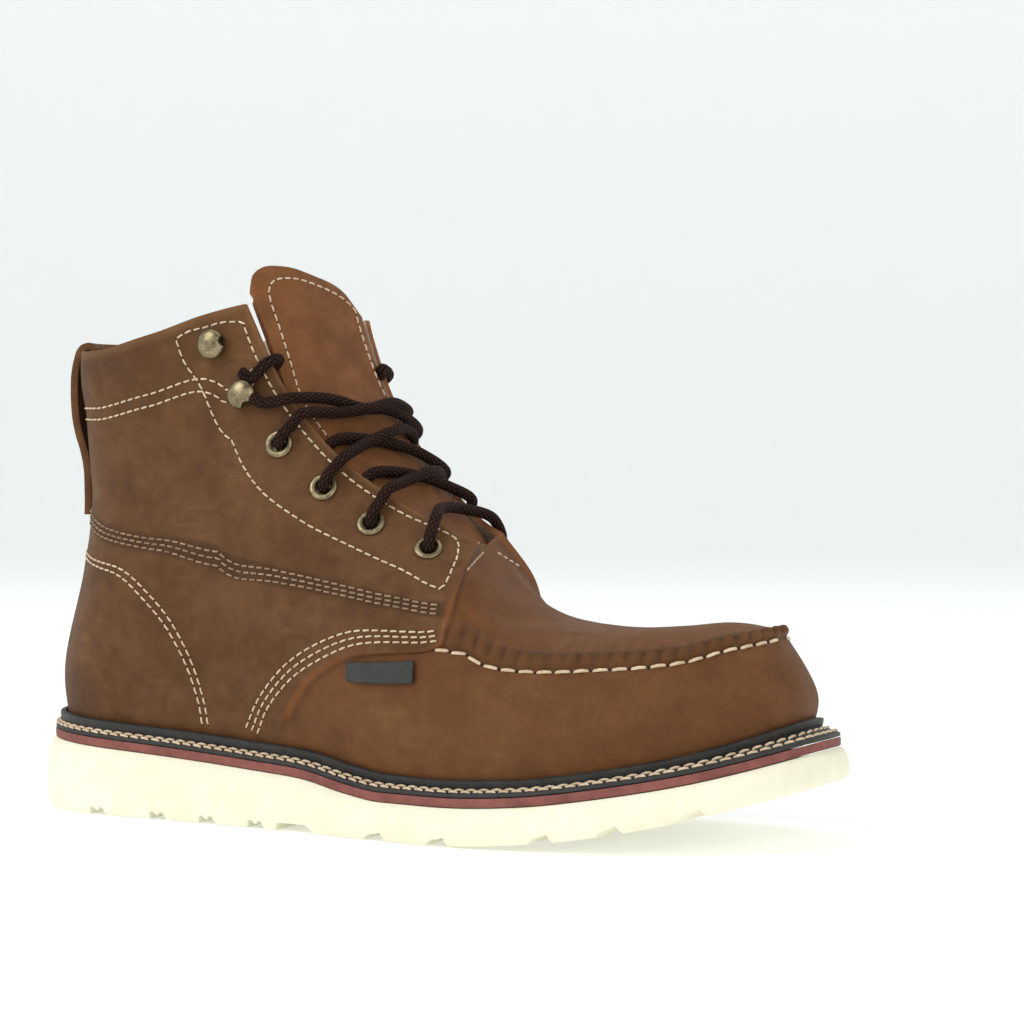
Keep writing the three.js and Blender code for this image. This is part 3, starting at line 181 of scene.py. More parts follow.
TOP_INNER = rows("at x y up", """
    0 -0.459 0.075 0.824
    0.03 -0.443 0.33 0.825
    0.08 -0.393 0.515 0.825
    0.16 -0.289 0.623 0.873
    0.22 -0.204 0.632 0.921
    0.28 -0.122 0.585 0.958 corner
    0.31 -0.11 0.566 0.83
    0.36 -0.086 0.547 0.624
    0.44 -0.036 0.509 0.358
    0.52 0.013 0.472 0.176
    0.58 0.053 0.396 0.067
    0.62 0.077 0.321 0.024 corner
    0.64 0.086 0.038 -0.012
""")
VAMP_LINE = rows("at x y up", """
    0.64 0.086 0.038 0.965
    0.7 0.141 0.057 0.291
    0.76 0.197 0.075 0.053
    0.82 0.263 0.094 0
    0.88 0.319 0.132 0.032
    0.94 0.365 0.16 0.082
    1 0.398 0.17 0.06
""")
RIBS_OUTER = rows("at lean1 out1 rise1 lean2 out2 rise2 lean3 out3 rise3", """
    0 0.17 0.045 0.17 0.41 -0.066 0.42 0.61 -0.1 0.61
    0.04 0.17 0.049 0.17 0.41 -0.053 0.42 0.61 -0.094 0.61
    0.08 0.17 0.068 0.17 0.41 -0.009 0.42 0.61 -0.072 0.61
    0.14 0.17 0.087 0.17 0.41 0.049 0.42 0.61 -0.034 0.61
    0.28 0.17 0.104 0.17 0.41 0.091 0.42 0.63 0.049 0.63
    0.36 0.15 0.117 0.19 0.38 0.132 0.45 0.64 0.136 0.68
    0.44 0.12 0.121 0.21 0.34 0.151 0.49 0.62 0.151 0.72
    0.52 0.09 0.117 0.24 0.28 0.151 0.53 0.58 0.151 0.76
    0.58 0.06 0.102 0.27 0.22 0.121 0.56 0.54 0.132 0.8
    0.62 0.04 0.091 0.3 0.16 0.087 0.59 0.48 0.104 0.835
    0.64 0.03 0.087 0.3 0.12 0.079 0.59 0.46 0.102 0.85
    0.7 0.02 0.075 0.34 0.09 0.049 0.68 0.47 0.03 0.88
    0.76 0.01 0.064 0.38 0.08 0.023 0.755 0.48 0 0.94
    0.82 0.01 0.057 0.4 0.09 0 0.785 0.5 0 0.965
    0.88 0.01 0.045 0.4 0.13 0 0.79 0.55 0 0.97
    0.94 0.01 0.038 0.39 0.25 0 0.84 0.62 0 0.975
    1 0.02 0.036 0.38 0.45 0 0.9 0.72 0 0.975
""")
RIBS_INNER = rows("at lean1 out1 rise1 lean2 out2 rise2 lean3 out3 rise3", """
    0 0.17 0.045 0.17 0.41 -0.066 0.42 0.61 -0.1 0.61
    0.04 0.17 0.049 0.17 0.41 -0.053 0.42 0.61 -0.094 0.61
    0.08 0.17 0.064 0.17 0.41 -0.019 0.42 0.61 -0.079 0.61
    0.14 0.17 0.068 0.17 0.41 0.011 0.42 0.61 -0.06 0.61
    0.28 0.17 0.072 0.17 0.41 0.045 0.42 0.63 0 0.63
    0.36 0.15 0.083 0.19 0.38 0.075 0.45 0.64 0.045 0.68
    0.44 0.12 0.091 0.21 0.34 0.087 0.49 0.62 0.068 0.72
    0.52 0.09 0.091 0.24 0.3 0.083 0.53 0.6 0.068 0.76
    0.58 0.06 0.083 0.27 0.26 0.064 0.56 0.58 0.049 0.8
    0.62 0.04 0.075 0.3 0.2 0.057 0.59 0.56 0.026 0.82
    0.64 0.03 0.075 0.3 0.16 0.057 0.59 0.58 0.019 0.82
    0.7 0.02 0.068 0.34 0.12 0.045 0.68 0.52 0 0.88
    0.76 0.01 0.06 0.38 0.08 0.023 0.755 0.5 0 0.94
    0.82 0.01 0.057 0.4 0.09 0 0.785 0.5 0 0.965
    0.88 0.01 0.045 0.4 0.13 0 0.79 0.55 0 0.97
    0.94 0.01 0.038 0.39 0.25 0 0.84 0.62 0 0.975
    1 0.02 0.036 0.38 0.45 0 0.9 0.72 0 0.975
""")
QUARTER_LINE = rows("level station", """
    0 0.372
    0.35 0.381
    0.75 0.397
    1.15 0.422
    1.5 0.463
    1.72 0.512
    1.85 0.562
    1.95 0.597
    2 0.604
    2.42 0.612
    3.1 0.62
    4 0.62
""")
MOC_PROFILE = rows("level tall", """
    2 0
    2.07 0.8
    2.2 1
    2.33 0.7
    2.42 0
""")
TONGUE_SPREAD = rows("at outer inner bulge", """
    0 1.1 1.1 0.1
    0.3 1.12 1.12 0.8
    0.62 1.08 1.1 1
    0.8 0.9 0.98 1
    1 0.84 0.92 1
""")
TONGUE_EDGE = rows("at rise", """
    0 0.1
    0.08 0.62
    0.25 0.94
    0.4 1
    0.65 0.78
    0.88 0.4
    1 -0.1
""")
LOOP_PATH = rows("off up", """
    1.13 -59.5
    1.13 -50.5
    1.15 -42.5
    1.5 -36
    2 -30.5
    2.32 -24.5
    2.36 -19
    2.28 -13.5
    2.02 -7.5
    1.55 -2.5
    0.95 1.4
    0.2 3.2
    -0.8 3.7
    -1.7 2.3
    -2.05 -0.6
    -2.05 -5.5
    -2.05 -11.5
""")


def slopes(x: np.ndarray, y: np.ndarray) -> np.ndarray:
    """Slopes at the points that keep a cubic from overshooting.

    Args:
        x: Places of the points, rising.
        y: Their values.

    Returns:
        A slope for each point.
    """
    step = np.diff(x)
    rate = np.diff(y) / step
    if len(rate) == 1:
        return np.array([rate[0], rate[0]])
    inner = np.zeros(len(x))
    same = rate[:-1] * rate[1:] > 0
    before = 2 * step[1:] + step[:-1]
    after = step[1:] + 2 * step[:-1]
    safe_a = np.where(rate[:-1] == 0, 1, rate[:-1])
    safe_b = np.where(rate[1:] == 0, 1, rate[1:])
    inner[1:-1] = np.where(same, (before + after) / (before / safe_a + after / safe_b), 0)
    for end, a, b in ((0, 0, 1), (-1, -1, -2)):
        slope = ((2 * step[a] + step[b]) * rate[a] - step[a] * rate[b]) / (step[a] + step[b])
        if slope * rate[a] <= 0:
            slope = 0
        elif rate[a] * rate[b] <= 0 and abs(slope) > 3 * abs(rate[a]):
            slope = 3 * rate[a]
        inner[end] = slope
    return inner


def turn_of(at: np.ndarray) -> np.ndarray:
    """Turn from heel to toe, from 0 to pi, that belongs to stations."""
    return np.arccos(1 - 2 * np.clip(at, 0, 1))


def column(table: dict[str, np.ndarray], key: str, by: str = "at", turned: bool = False,
           flat: bool = False) -> Callable[[np.ndarray], np.ndarray]:
    """Smooth curve through one column of a table.

    Args:
        table: The table.
        key: Column that is drawn.
        by: Column that it is read by.
        turned: Whether it is measured along the half turn from heel to toe.
        flat: Whether it has no slope at 0 and 1.

    Returns:
        The curve as a function of arrays.
    """
    final = len(table[by]) - 1
    breaks = [0, *[int(i) for i in table["corner"] if 0 < i < final], final]
    spans = []
    for first, last in zip(breaks[:-1], breaks[1:]):
        raw = table[by][first:last + 1]
        x = turn_of(raw) if turned else raw
        y = table[key][first:last + 1]
        d = slopes(x, y)
        if flat and raw[0] == 0:
            d[0] = 0
        if flat and raw[-1] == 1:
            d[-1] = 0
        spans.append((raw[-1], x, y, d))

    def curve(value: np.ndarray) -> np.ndarray:
        value = np.asarray(value, float)
        place = turn_of(value) if turned else value
        result = np.zeros_like(place)
        done = np.zeros(place.shape, bool)
        for n, (end, x, y, d) in enumerate(spans):
            here = ~done & ((value <= end) | (n == len(spans) - 1))
            i = np.clip(np.searchsorted(x, place, side="right") - 1, 0, len(x) - 2)
            step = x[i + 1] - x[i]
            t = np.clip((place - x[i]) / step, 0, 1)
            drawn = ((2 * t**3 - 3 * t**2 + 1) * y[i] + (t**3 - 2 * t**2 + t) * step * d[i]
                     + (3 * t**2 - 2 * t**3) * y[i + 1] + (t**3 - t**2) * step * d[i + 1])
            result = np.where(here, drawn, result)
            done |= here
        return result

    return curve


def columns(table: dict[str, np.ndarray], keys: Iterable[str]) -> dict[str, Callable]:
    """Columns that run round the footprint; all but y are alike on both sides of an end."""
    return {key: column(table, key, turned=True, flat=key != "y") for key in keys}


half_outer = column(FOOTPRINT, "outer")
half_inner = column(FOOTPRINT, "inner")
sole_thick = column(SOLE_TOP, "thick")
sole_spring = column(SOLE_TOP, "spring")
foot_share = column(FOOT_DEPTH, "depth")
rand_tall = column(RAND, "tall")
quarter_line = column(QUARTER_LINE, "station", "level")
moc_tall = column(MOC_PROFILE, "tall", "level")
RIB_KEYS = [f"{name}{n}" for n in (1, 2, 3) for name in ("lean", "out", "rise")]
TOP_LINES = {OUTER: columns(TOP_OUTER, ("x", "y", "up")), INNER: columns(TOP_INNER, ("x", "y", "up"))}
VAMP = columns(VAMP_LINE, ("x", "y", "up"))
RIBS = {OUTER: columns(RIBS_OUTER, RIB_KEYS), INNER: columns(RIBS_INNER, RIB_KEYS)}


def stack(*parts: np.ndarray) -> np.ndarray:
    """Points from their coordinates."""
    return np.stack(np.broadcast_arrays(*parts), -1)


def unit(v: np.ndarray) -> np.ndarray:
    """Vectors at length 1."""
    return v / np.maximum(np.linalg.norm(v, axis=-1, keepdims=True), 1e-12)


def run_along(path: np.ndarray) -> np.ndarray:
    """Distance along a path from its first point to each of its points."""
    return np.concatenate([[0], np.cumsum(np.linalg.norm(np.diff(path, axis=0), axis=1))])


def bell(value: np.ndarray, middle: float, width: float) -> np.ndarray:
    """Soft hump, 1 in its middle."""
    return np.exp(-(((value - middle) / width) ** 2))


def circle(first: np.ndarray, second: np.ndarray, corners: int) -> np.ndarray:
    """Unit circles from pairs of directions, one row of corners for each pair."""
    turn = np.linspace(0, 2 * np.pi, corners, endpoint=False)[None, :, None]
    return first[:, None] * np.cos(turn) + second[:, None] * np.sin(turn)


def edge(at: np.ndarray, side: int) -> np.ndarray:
    """Edge of the footprint.

    Args:
        at: Stations, shares of the outsole's length from the heel.
        side: OUTER or INNER.

    Returns:
        Points of the plan, X and Y in millimetres.
    """
    middle = (half_inner(at) - half_outer(at)) / 2
    half = (half_inner(at) + half_outer(at)) / 2

    def end(distance: np.ndarray, length: float, squareness: float) -> np.ndarray:
        left = 1 - np.clip(distance / length, 0, 1)
        return (1 - left**squareness) ** (1 / squareness)

    ends = end(at * LENGTH, HEEL_ROUND, HEEL_SQUARENESS) * end((1 - at) * LENGTH, TOE_ROUND, TOE_SQUARENESS)
    return stack((at - 0.5) * LENGTH, HALF_WIDTH * (middle + side * half * ends))


def edge_normal(at: np.ndarray, side: int) -> np.ndarray:
    """Directions away from the foot at the footprint's edge.

    Args:
        at: Stations.
        side: OUTER or INNER.

    Returns:
        Directions in the plan.
    """
    angle = turn_of(at)
    step = 0.003
    before = edge((1 - np.cos(np.maximum(angle - step, 0))) / 2, side)
    after = edge((1 - np.cos(np.minimum(angle + step, math.pi))) / 2, side)
    along = unit(after - before)
    away = stack(-side * along[..., 1], side * along[..., 0])
    away = np.where((at < 1e-9)[..., None], [-1.0, 0.0], away)
    return np.where((at > 1 - 1e-9)[..., None], [1.0, 0.0], away)


def inset(at: np.ndarray, side: int, depth: np.ndarray) -> np.ndarray:
    """The footprint drawn in by a depth."""
    return edge(at, side) - edge_normal(at, side) * np.asarray(depth)[..., None]


def sole_top(at: np.ndarray) -> np.ndarray:
    """Height of the outsole's top face."""
    return SOLE_REAR * sole_thick(at) + TOE_SPRING * sole_spring(at)


def seat(at: np.ndarray) -> np.ndarray:
    """Height at which the upper, the welt and the insole stand."""
    return sole_top(at) + MIDSOLE_THICK + 2 * CLEARANCE


def rand_top(at: np.ndarray) -> np.ndarray:
    """Height of the rand's upper edge."""
    return seat(at) - CLEARANCE + RAND_TOE + (RAND_HEEL - RAND_TOE) * rand_tall(at)


def top_point(at: np.ndarray, side: int) -> np.ndarray:
    """Top line of the upper, and the vamp's centre line in front of the throat.

    Args:
        at: Stations.
        side: OUTER or INNER.

    Returns:
        Points in millimetres.
    """
    def line(curves: dict[str, Callable], low: float, high: float) -> np.ndarray:
        height = low + curves["up"](at) * (high - low)
        return stack(curves["x"](at) * LENGTH, curves["y"](at) * HALF_WIDTH, height)

    behind = line(TOP_LINES[side], INSTEP, COLLAR_FRONT)
    return np.where((at < THROAT)[..., None], behind, line(VAMP, VAMP_LOW, INSTEP))


def rib_points(at: np.ndarray, side: int) -> list[np.ndarray]:
    """Control points of the ribs, from the foot to the top line.

    Args:
        at: Stations.
        side: OUTER or INNER.

    Returns:
        Five arrays of points, one for each level.
    """
    foot = inset(at, side, MIDSOLE_INSET * foot_share(at))
    away = edge_normal(at, side)
    base = stack(foot[..., 0], foot[..., 1], seat(at))
    away = stack(away[..., 0], away[..., 1], np.zeros_like(at))
    head = top_point(at, side)
    span = head - base
    points = [base]
    for n in (1, 2, 3):
        lean = RIBS[side][f"lean{n}"](at)
        rise = RIBS[side][f"rise{n}"](at)
        out = RIBS[side][f"out{n}"](at) * HALF_WIDTH
        points.append(base + span * stack(lean, lean, rise) + away * out[..., None])
    return [*points, head]


def upper_point(at: np.ndarray, side: int, level: np.ndarray) -> np.ndarray:
    """Points of the upper's outer face.

    Args:
        at: Stations, shares of the outsole's length from the heel.
        side: OUTER or INNER.
        level: Levels from the foot (0) to the top line (4).

    Returns:
        Points in millimetres.
    """
    at, level = np.broadcast_arrays(np.asarray(at, float), np.asarray(level, float))
    near = rib_points(at, side)
    over = rib_points(at, -side)[3]
    past = np.where((at >= THROAT - 1e-9)[..., None], over, 2 * near[4] - near[3])
    control = np.stack([2 * near[0] - near[1], *near, past])
    i = np.clip(np.floor(level), 0, 3).astype(int)
    t = (level - i)[..., None]
    p0, p1, p2, p3 = (np.take_along_axis(control, (i + k)[None, ..., None], 0)[0] for k in range(4))
    return 0.5 * (2 * p1 + (p2 - p0) * t + (2 * p0 - 5 * p1 + 4 * p2 - p3) * t**2
                  + (3 * p1 - p0 - 3 * p2 + p3) * t**3)


def upper_normal(at: np.ndarray, side: int, level: np.ndarray) -> np.ndarray:
    """Directions away from the upper's outer face.

    Args:
        at: Stations.
        side: OUTER or INNER.
        level: Levels.

    Returns:
        Directions of length 1.
    """
    at, level = np.broadcast_arrays(np.asarray(at, float), np.asarray(level, float))
    step, rise = 0.004, 0.04
    ahead = upper_point(np.minimum(at + step, 1), side, level)
    behind = upper_point(np.maximum(at - step, 0), side, level)
    above = upper_point(at, side, np.minimum(level + rise, TOP_LEVEL))
    below = upper_point(at, side, np.maximum(level - rise, 0))
    return unit(np.cross(ahead - behind, above - below) * -side)


def level_at(at: np.ndarray, side: int, height: np.ndarray, top: float, halvings: int) -> np.ndarray:
    """Levels at which stations reach heights.

    Args:
        at: Stations.
        side: OUTER or INNER.
        height: Heights in millimetres.
        top: Highest level that is looked at.
        halvings: How often the range is halved.

    Returns:
        Levels just below the heights.
    """
    low, high = np.zeros_like(at), np.full_like(at, top)
    for _ in range(halvings):
        level = (low + high) / 2
        under = upper_point(at, side, level)[..., 2] < height
        low, high = np.where(under, level, low), np.where(under, high, level)
    return low


def station_of(col: np.ndarray, level: np.ndarray) -> np.ndarray:
    """Station of a column at a level: one column follows the quarter's front edge."""
    line = quarter_line(level)
    behind = col / QUARTER_EDGE * line
    ahead = line + (col - QUARTER_EDGE) / (1 - QUARTER_EDGE) * (1 - line)
    return np.where(col <= QUARTER_EDGE, behind, ahead)


def column_of(at: np.ndarray, level: np.ndarray) -> np.ndarray:
    """Column that passes a station at a level."""
    line = quarter_line(level)
    behind = at / line * QUARTER_EDGE
    ahead = QUARTER_EDGE + (at - line) / (1 - line) * (1 - QUARTER_EDGE)
    return np.where(at <= line, behind, ahead)


def smooth_step(value: np.ndarray) -> np.ndarray:
    """Soft step from 0 to 1 as the value does the same."""
    t = np.clip(value, 0, 1)
    return t * t * (3 - 2 * t)


def seam_length(col: np.ndarray) -> np.ndarray:
    """Distance along the moc seam from the tip of the toe."""
    line = np.linspace(QUARTER_EDGE, 1, 240)
    station = station_of(line, np.full_like(line, MOC_MIDDLE))
    run = run_along(upper_point(station, OUTER, MOC_MIDDLE))
    return run[-1] - np.interp(col, line, run)


def pleats(col: np.ndarray) -> np.ndarray:
    """Pleats of the moc seam, from 0 in a fold to 1 on its back."""
    return np.abs(np.sin(np.pi * seam_length(col) / PLEAT_PITCH))


def near_segment(place: np.ndarray, a: np.ndarray, b: np.ndarray) -> tuple[np.ndarray, np.ndarray]:
    """Where places lie beside a straight line.

    Args:
        place: The places in millimetres.
        a: Start of the line.
        b: Its end.

    Returns:
        Shares of the line that they lie beside, and their distances from it.
    """
    share = np.clip(((place - a) @ (b - a)) / ((b - a) @ (b - a)), 0, 1)
    return share, np.linalg.norm(place - a - share[..., None] * (b - a), axis=-1)


@dataclass(frozen=True)
class Crease:
    """Soft trough or ridge of the leather between two places on the upper."""

    start: tuple[float, float]
    end: tuple[float, float]
    width: float
    height: float
    side: int = 0

    def at(self, station: np.ndarray, side: int, level: np.ndarray) -> np.ndarray:
        """Height that it adds.

        Args:
            station: Stations of the places.
            side: Their side.
            level: Their levels.

        Returns:
            Heights in millimetres.
        """
        if self.side not in (0, side):
            return np.zeros(np.broadcast(station, level).shape)
        place = stack(station * PLACE_SCALE[0], level * PLACE_SCALE[1])
        start, end = np.array(self.start) * PLACE_SCALE, np.array(self.end) * PLACE_SCALE
        share, off = near_segment(place, start, end)
        fade = 0.35 + 0.65 * np.sin(np.pi * np.clip(share, 0.02, 0.98))
        return self.height * fade * bell(off, 0, self.width)


CREASES = (
    Crease((0.02, 3.05), (0.2, 2.75), 7, -0.9),
    Crease((0.05, 2.88), (0.24, 2.52), 6, 0.5),
    Crease((0.1, 3.35), (0.3, 3.2), 9, -0.6, OUTER),
    Crease((0.36, 3.1), (0.56, 2.75), 8, -0.8),
    Crease((0.42, 2.3), (0.58, 2.1), 6, -0.5),
    Crease((0.4, 2.8), (0.55, 2.45), 7, 0.5),
    Crease((0.65, 2.75), (0.72, 3.5), 6, -1.0),
    Crease((0.69, 2.7), (0.77, 3.3), 6, 0.6),
    Crease((0.74, 2.6), (0.8, 3.6), 8, -0.5),
    Crease((0.63, 1.5), (0.74, 1.75), 7, -0.6),
    Crease((0.58, 0.9), (0.72, 1.25), 9, -0.5),
    Crease((0.29, 3.9), (0.33, 3.4), 5, -0.5),
    Crease((0.48, 3.9), (0.47, 3.3), 6, -0.45),
    Crease((0.06, 1.4), (0.05, 2.3), 10, -0.5),
)


def relief(col: np.ndarray, side: int, level: np.ndarray) -> np.ndarray:
    """Height of the leather over the plain surface.

    Args:
        col: Columns of the upper.
        side: OUTER or INNER.
        level: Levels.

    Returns:
        Heights in millimetres.
    """
    col, level = np.broadcast_arrays(np.asarray(col, float), np.asarray(level, float))
    behind = np.clip((QUARTER_EDGE - col) / QUARTER_FADE, 0, 1)
    quarter = QUARTER_STEP * (1 - behind) * np.clip((level - 0.35) / 0.3, 0, 1)
    pleat = pleats(col)
    low, high = MOC_PROFILE["level"][[0, -1]]
    ridge = MOC_RIDGE * moc_tall(np.clip(level, low, high)) * (0.42 + 0.72 * pleat**0.55)
    pucker = 0.75 * (pleat**0.6 - 0.7) * bell(level, 2.5, 0.16) * smooth_step((level - 2.3) / 0.1)
    pucker = pucker + 0.3 * (pleat**0.7 - 0.7) * bell(level, 1.9, 0.09)
    vamp = ridge + pucker
    over = smooth_step((col - QUARTER_EDGE) / EDGE_GAP)
    height = quarter * (1 - over) + vamp * over
    station = station_of(col, level)
    crease = sum(fold.at(station, side, level) for fold in CREASES)
    roll = np.sin(np.pi * np.clip((level - COLLAR_SEAM_LEVEL) / (TOP_LEVEL - COLLAR_SEAM_LEVEL), 0, 1))
    collar = COLLAR_ROLL * roll * smooth_step((0.24 - col) / 0.06)
    return height + crease * smooth_step(level / 0.6) + collar


def skin(at: np.ndarray, side: int, level: np.ndarray, lift: float = 0) -> np.ndarray:
    """Points over the upper's leather, relief included.

    Args:
        at: Stations.
        side: OUTER or INNER.
        level: Levels.
        lift: Height over the leather.

    Returns:
        Points in millimetres.
    """
    at, level = np.broadcast_arrays(np.asarray(at, float), np.asarray(level, float))
    height = relief(column_of(at, level), side, level) + lift
    return upper_point(at, side, level) + upper_normal(at, side, level) * height[..., None]


def skin_frame(at: float, side: int, level: float) -> Matrix:
    """Frame on the facing's leather in metres: Z away from it and X towards the toe."""
    stations, levels = np.array([at]), np.array([level])
    step = 0.01
    away = Vector(upper_normal(stations, side, levels)[0])
    chord = upper_point(stations + step, side, levels) - upper_point(stations - step, side, levels)
    ahead = Vector(chord[0])
    ahead = (ahead - away * ahead.dot(away)).normalized()
    across = away.cross(ahead)
    where = Vector(skin(stations, side, levels)[0]) * MM
    turn = Matrix((ahead, across, away)).transposed().to_4x4()
    return Matrix.Translation(where) @ turn


def spline(points: np.ndarray, part: np.ndarray) -> np.ndarray:
    """Centripetal spline through points.

    Args:
        points: The points, the first axis running along the curve.
        part: Places along it, from 0 to the number of spans.

    Returns:
        Points of the curve, one per place.
    """
    count = len(points) - 1
    ends = np.concatenate([2 * points[:1] - points[1:2], points, 2 * points[-1:] - points[-2:-1]])
    i = np.clip(np.floor(part), 0, count - 1).astype(int)
    w = np.clip(part - i, 0, 1)[..., None]
    if points.ndim == 2:
        p = [ends[i + k] for k in range(4)]
    else:
        p = [np.take_along_axis(ends, (i + k)[None, ..., None], 0)[0] for k in range(4)]
    gap = [np.maximum(np.linalg.norm(p[k + 1] - p[k], axis=-1, keepdims=True), 1e-6) ** 0.5
           for k in range(3)]
    start = (p[1] - p[0]) / gap[0] - (p[2] - p[0]) / (gap[0] + gap[1]) + (p[2] - p[1]) / gap[1]
    end = (p[2] - p[1]) / gap[1] - (p[3] - p[1]) / (gap[1] + gap[2]) + (p[3] - p[2]) / gap[2]
    start, end = start * gap[1], end * gap[1]
    return ((2 * w**3 - 3 * w**2 + 1) * p[1] + (w**3 - 2 * w**2 + w) * start
            + (3 * w**2 - 2 * w**3) * p[2] + (w**3 - w**2) * end)


tongue_outer = column(TONGUE_SPREAD, "outer")
tongue_inner = column(TONGUE_SPREAD, "inner")
tongue_bulge = column(TONGUE_SPREAD, "bulge")
tongue_edge = column(TONGUE_EDGE, "rise")


def under_upper(at: np.ndarray, side: int, level: float, drop: float = WALL + TONGUE_GAP) -> np.ndarray:
    """Points below the upper's outer face."""
    return upper_point(at, side, level) - upper_normal(at, side, level) * drop


def tongue_point(t: np.ndarray, across: np.ndarray) -> np.ndarray:
    """Points of the tongue's outer face.

    Args:
        t: Places along it, from its foot (0) to the collar's corners (1).
        across: Places across, from the edge of the outer facing (-1) to the inner one's (1).

    Returns:
        Points in millimetres.
    """
    t, across = np.broadcast_arrays(np.asarray(t, float), np.asarray(across, float))
    at = TONGUE_FOOT + (COLLAR_CORNER - TONGUE_FOOT) * np.minimum(t, 1)
    left, right = (under_upper(at, side, TOP_LEVEL) for side in (OUTER, INNER))
    far_left, far_right = (under_upper(at, side, 3.7) for side in (OUTER, INNER))
    along = top_point(np.minimum(at + 0.03, QUARTER_EDGE), OUTER) - top_point(at, OUTER)
    ahead = unit(np.cross(right - left, along))
    ahead = ahead * np.sign(ahead[..., :1])
    centre = (left + right) / 2 + ahead * TONGUE_BULGE * tongue_bulge(np.minimum(t, 1))[..., None]

    def ratio(far: np.ndarray, near: np.ndarray) -> np.ndarray:
        return np.linalg.norm(near - far, axis=-1) / np.linalg.norm(near - centre, axis=-1)

    one = np.ones_like(t)
    spots = np.stack([-1 - ratio(far_left, left), -one, 0 * one, one, 1 + ratio(far_right, right)])
    i = sum((across > spots[k]).astype(int) for k in (1, 2, 3))
    low = np.take_along_axis(spots, i[None], 0)[0]
    high = np.take_along_axis(spots, i[None] + 1, 0)[0]
    part = i + np.clip((across - low) / (high - low), 0, 1)
    return spline(np.stack([far_left, left, centre, right, far_right]), np.minimum(part, 4 - 1e-9))


def tongue_normal(t: np.ndarray, across: np.ndarray) -> np.ndarray:
    """Directions away from the tongue's outer face."""
    step = 0.02
    along = tongue_point(t + step, across) - tongue_point(t - step, across)
    over = tongue_point(t, across + step) - tongue_point(t, across - step)
    away = unit(np.cross(along, over))
    return np.where(away[..., :1] < 0, -away, away)


def grid_faces(rows: int, cols: int, wrap: bool = False, ring: bool = False) -> np.ndarray:
    """Quads of a grid of points.

    Args:
        rows: Number of rows.
        cols: Points in a row.
        wrap: Whether each row is a closed ring.
        ring: Whether the last row joins the first.

    Returns:
        Corner numbers, four to a face.
    """
    r = np.arange(rows if ring else rows - 1)[:, None]
    c = np.arange(cols if wrap else cols - 1)[None, :]
    after_r, after_c = (r + 1) % rows, (c + 1) % cols
    corners = (r * cols + c, r * cols + after_c, after_r * cols + after_c, after_r * cols + c)
    return np.stack(corners, -1).reshape(-1, 4)


def add_object(name: str, data: bpy.types.ID) -> bpy.types.Object:
    """Object that shows a mesh, a light or a camera."""
    piece = bpy.data.objects.new(name, data)
    bpy.context.scene.collection.objects.link(piece)
    return piece


def make_piece(name: str, points: np.ndarray, faces: Sequence, uv: np.ndarray | None = None,
               masks: dict[str, np.ndarray] | None = None, weld: bool = False,
               outward: bool = True) -> bpy.types.Object:
    """Mesh object from arrays.

    Args:
        name: Name of the piece.
        points: Corners in millimetres.
        faces: Corner numbers of the faces.
        uv: Texture place of each corner.
        masks: Values by name, one per corner.
        weld: Whether corners at one place are merged.
        outward: Whether the faces are turned outwards; they are closed then.

    Returns:
        The object, at the origin.
    """
    mesh = bpy.data.meshes.new(name)
    mesh.from_pydata((points.reshape(-1, 3) * MM).tolist(), [], [list(map(int, f)) for f in faces])
    if uv is not None:
        layer = mesh.uv_layers.new(name="UVMap")
        corner = np.zeros(len(mesh.loops), np.int32)
        mesh.loops.foreach_get("vertex_index", corner)
        layer.data.foreach_set("uv", uv.reshape(-1, 2)[corner].astype(np.float32).ravel())
    for key, value in (masks or {}).items():
        mask = mesh.attributes.new(key, "FLOAT", "POINT")
        mask.data.foreach_set("value", value.astype(np.float32).ravel())
    if weld or outward:
        work = bmesh.new()
        work.from_mesh(mesh)
        if weld:
            bmesh.ops.remove_doubles(work, verts=work.verts, dist=2e-5)
        if outward:
            bmesh.ops.recalc_face_normals(work, faces=work.faces)
        work.to_mesh(mesh)
        work.free()
    return add_object(name, mesh)


def select_only(piece: bpy.types.Object) -> None:
    """Makes one object the active and only selected one."""
    bpy.ops.object.select_all(action="DESELECT")
    piece.select_set(True)
    bpy.context.view_layer.objects.active = piece


def apply_all(piece: bpy.types.Object) -> None:
    """Applies the modifiers of a piece, in their order."""
    select_only(piece)
    for modifier in list(piece.modifiers):
        bpy.ops.object.modifier_apply(modifier=modifier.name)


def smooth(piece: bpy.types.Object, degrees: float = 40) -> None:
    """Smooth shading up to an angle between faces."""
    select_only(piece)
    bpy.ops.object.shade_smooth_by_angle(angle=math.radians(degrees))


def finish_piece(piece: bpy.types.Object, materials: Sequence[bpy.types.Material],
                 nodes: Sequence[str] = (), degrees: float = 40) -> bpy.types.Object:
    """Shades a piece, gives it its finish and ties it to the frame.

    Args:
        piece: The object.
        materials: Its materials, in slot order.
        nodes: CAD nodes that it stands for.
        degrees: Angle up to which it is smooth.

    Returns:
        The same object.
    """
    smooth(piece, degrees)
    if not piece.data.materials:
        for material in materials:
            piece.data.materials.append(material)
    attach(piece, "root")
    if nodes:
        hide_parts(*nodes)
    return piece


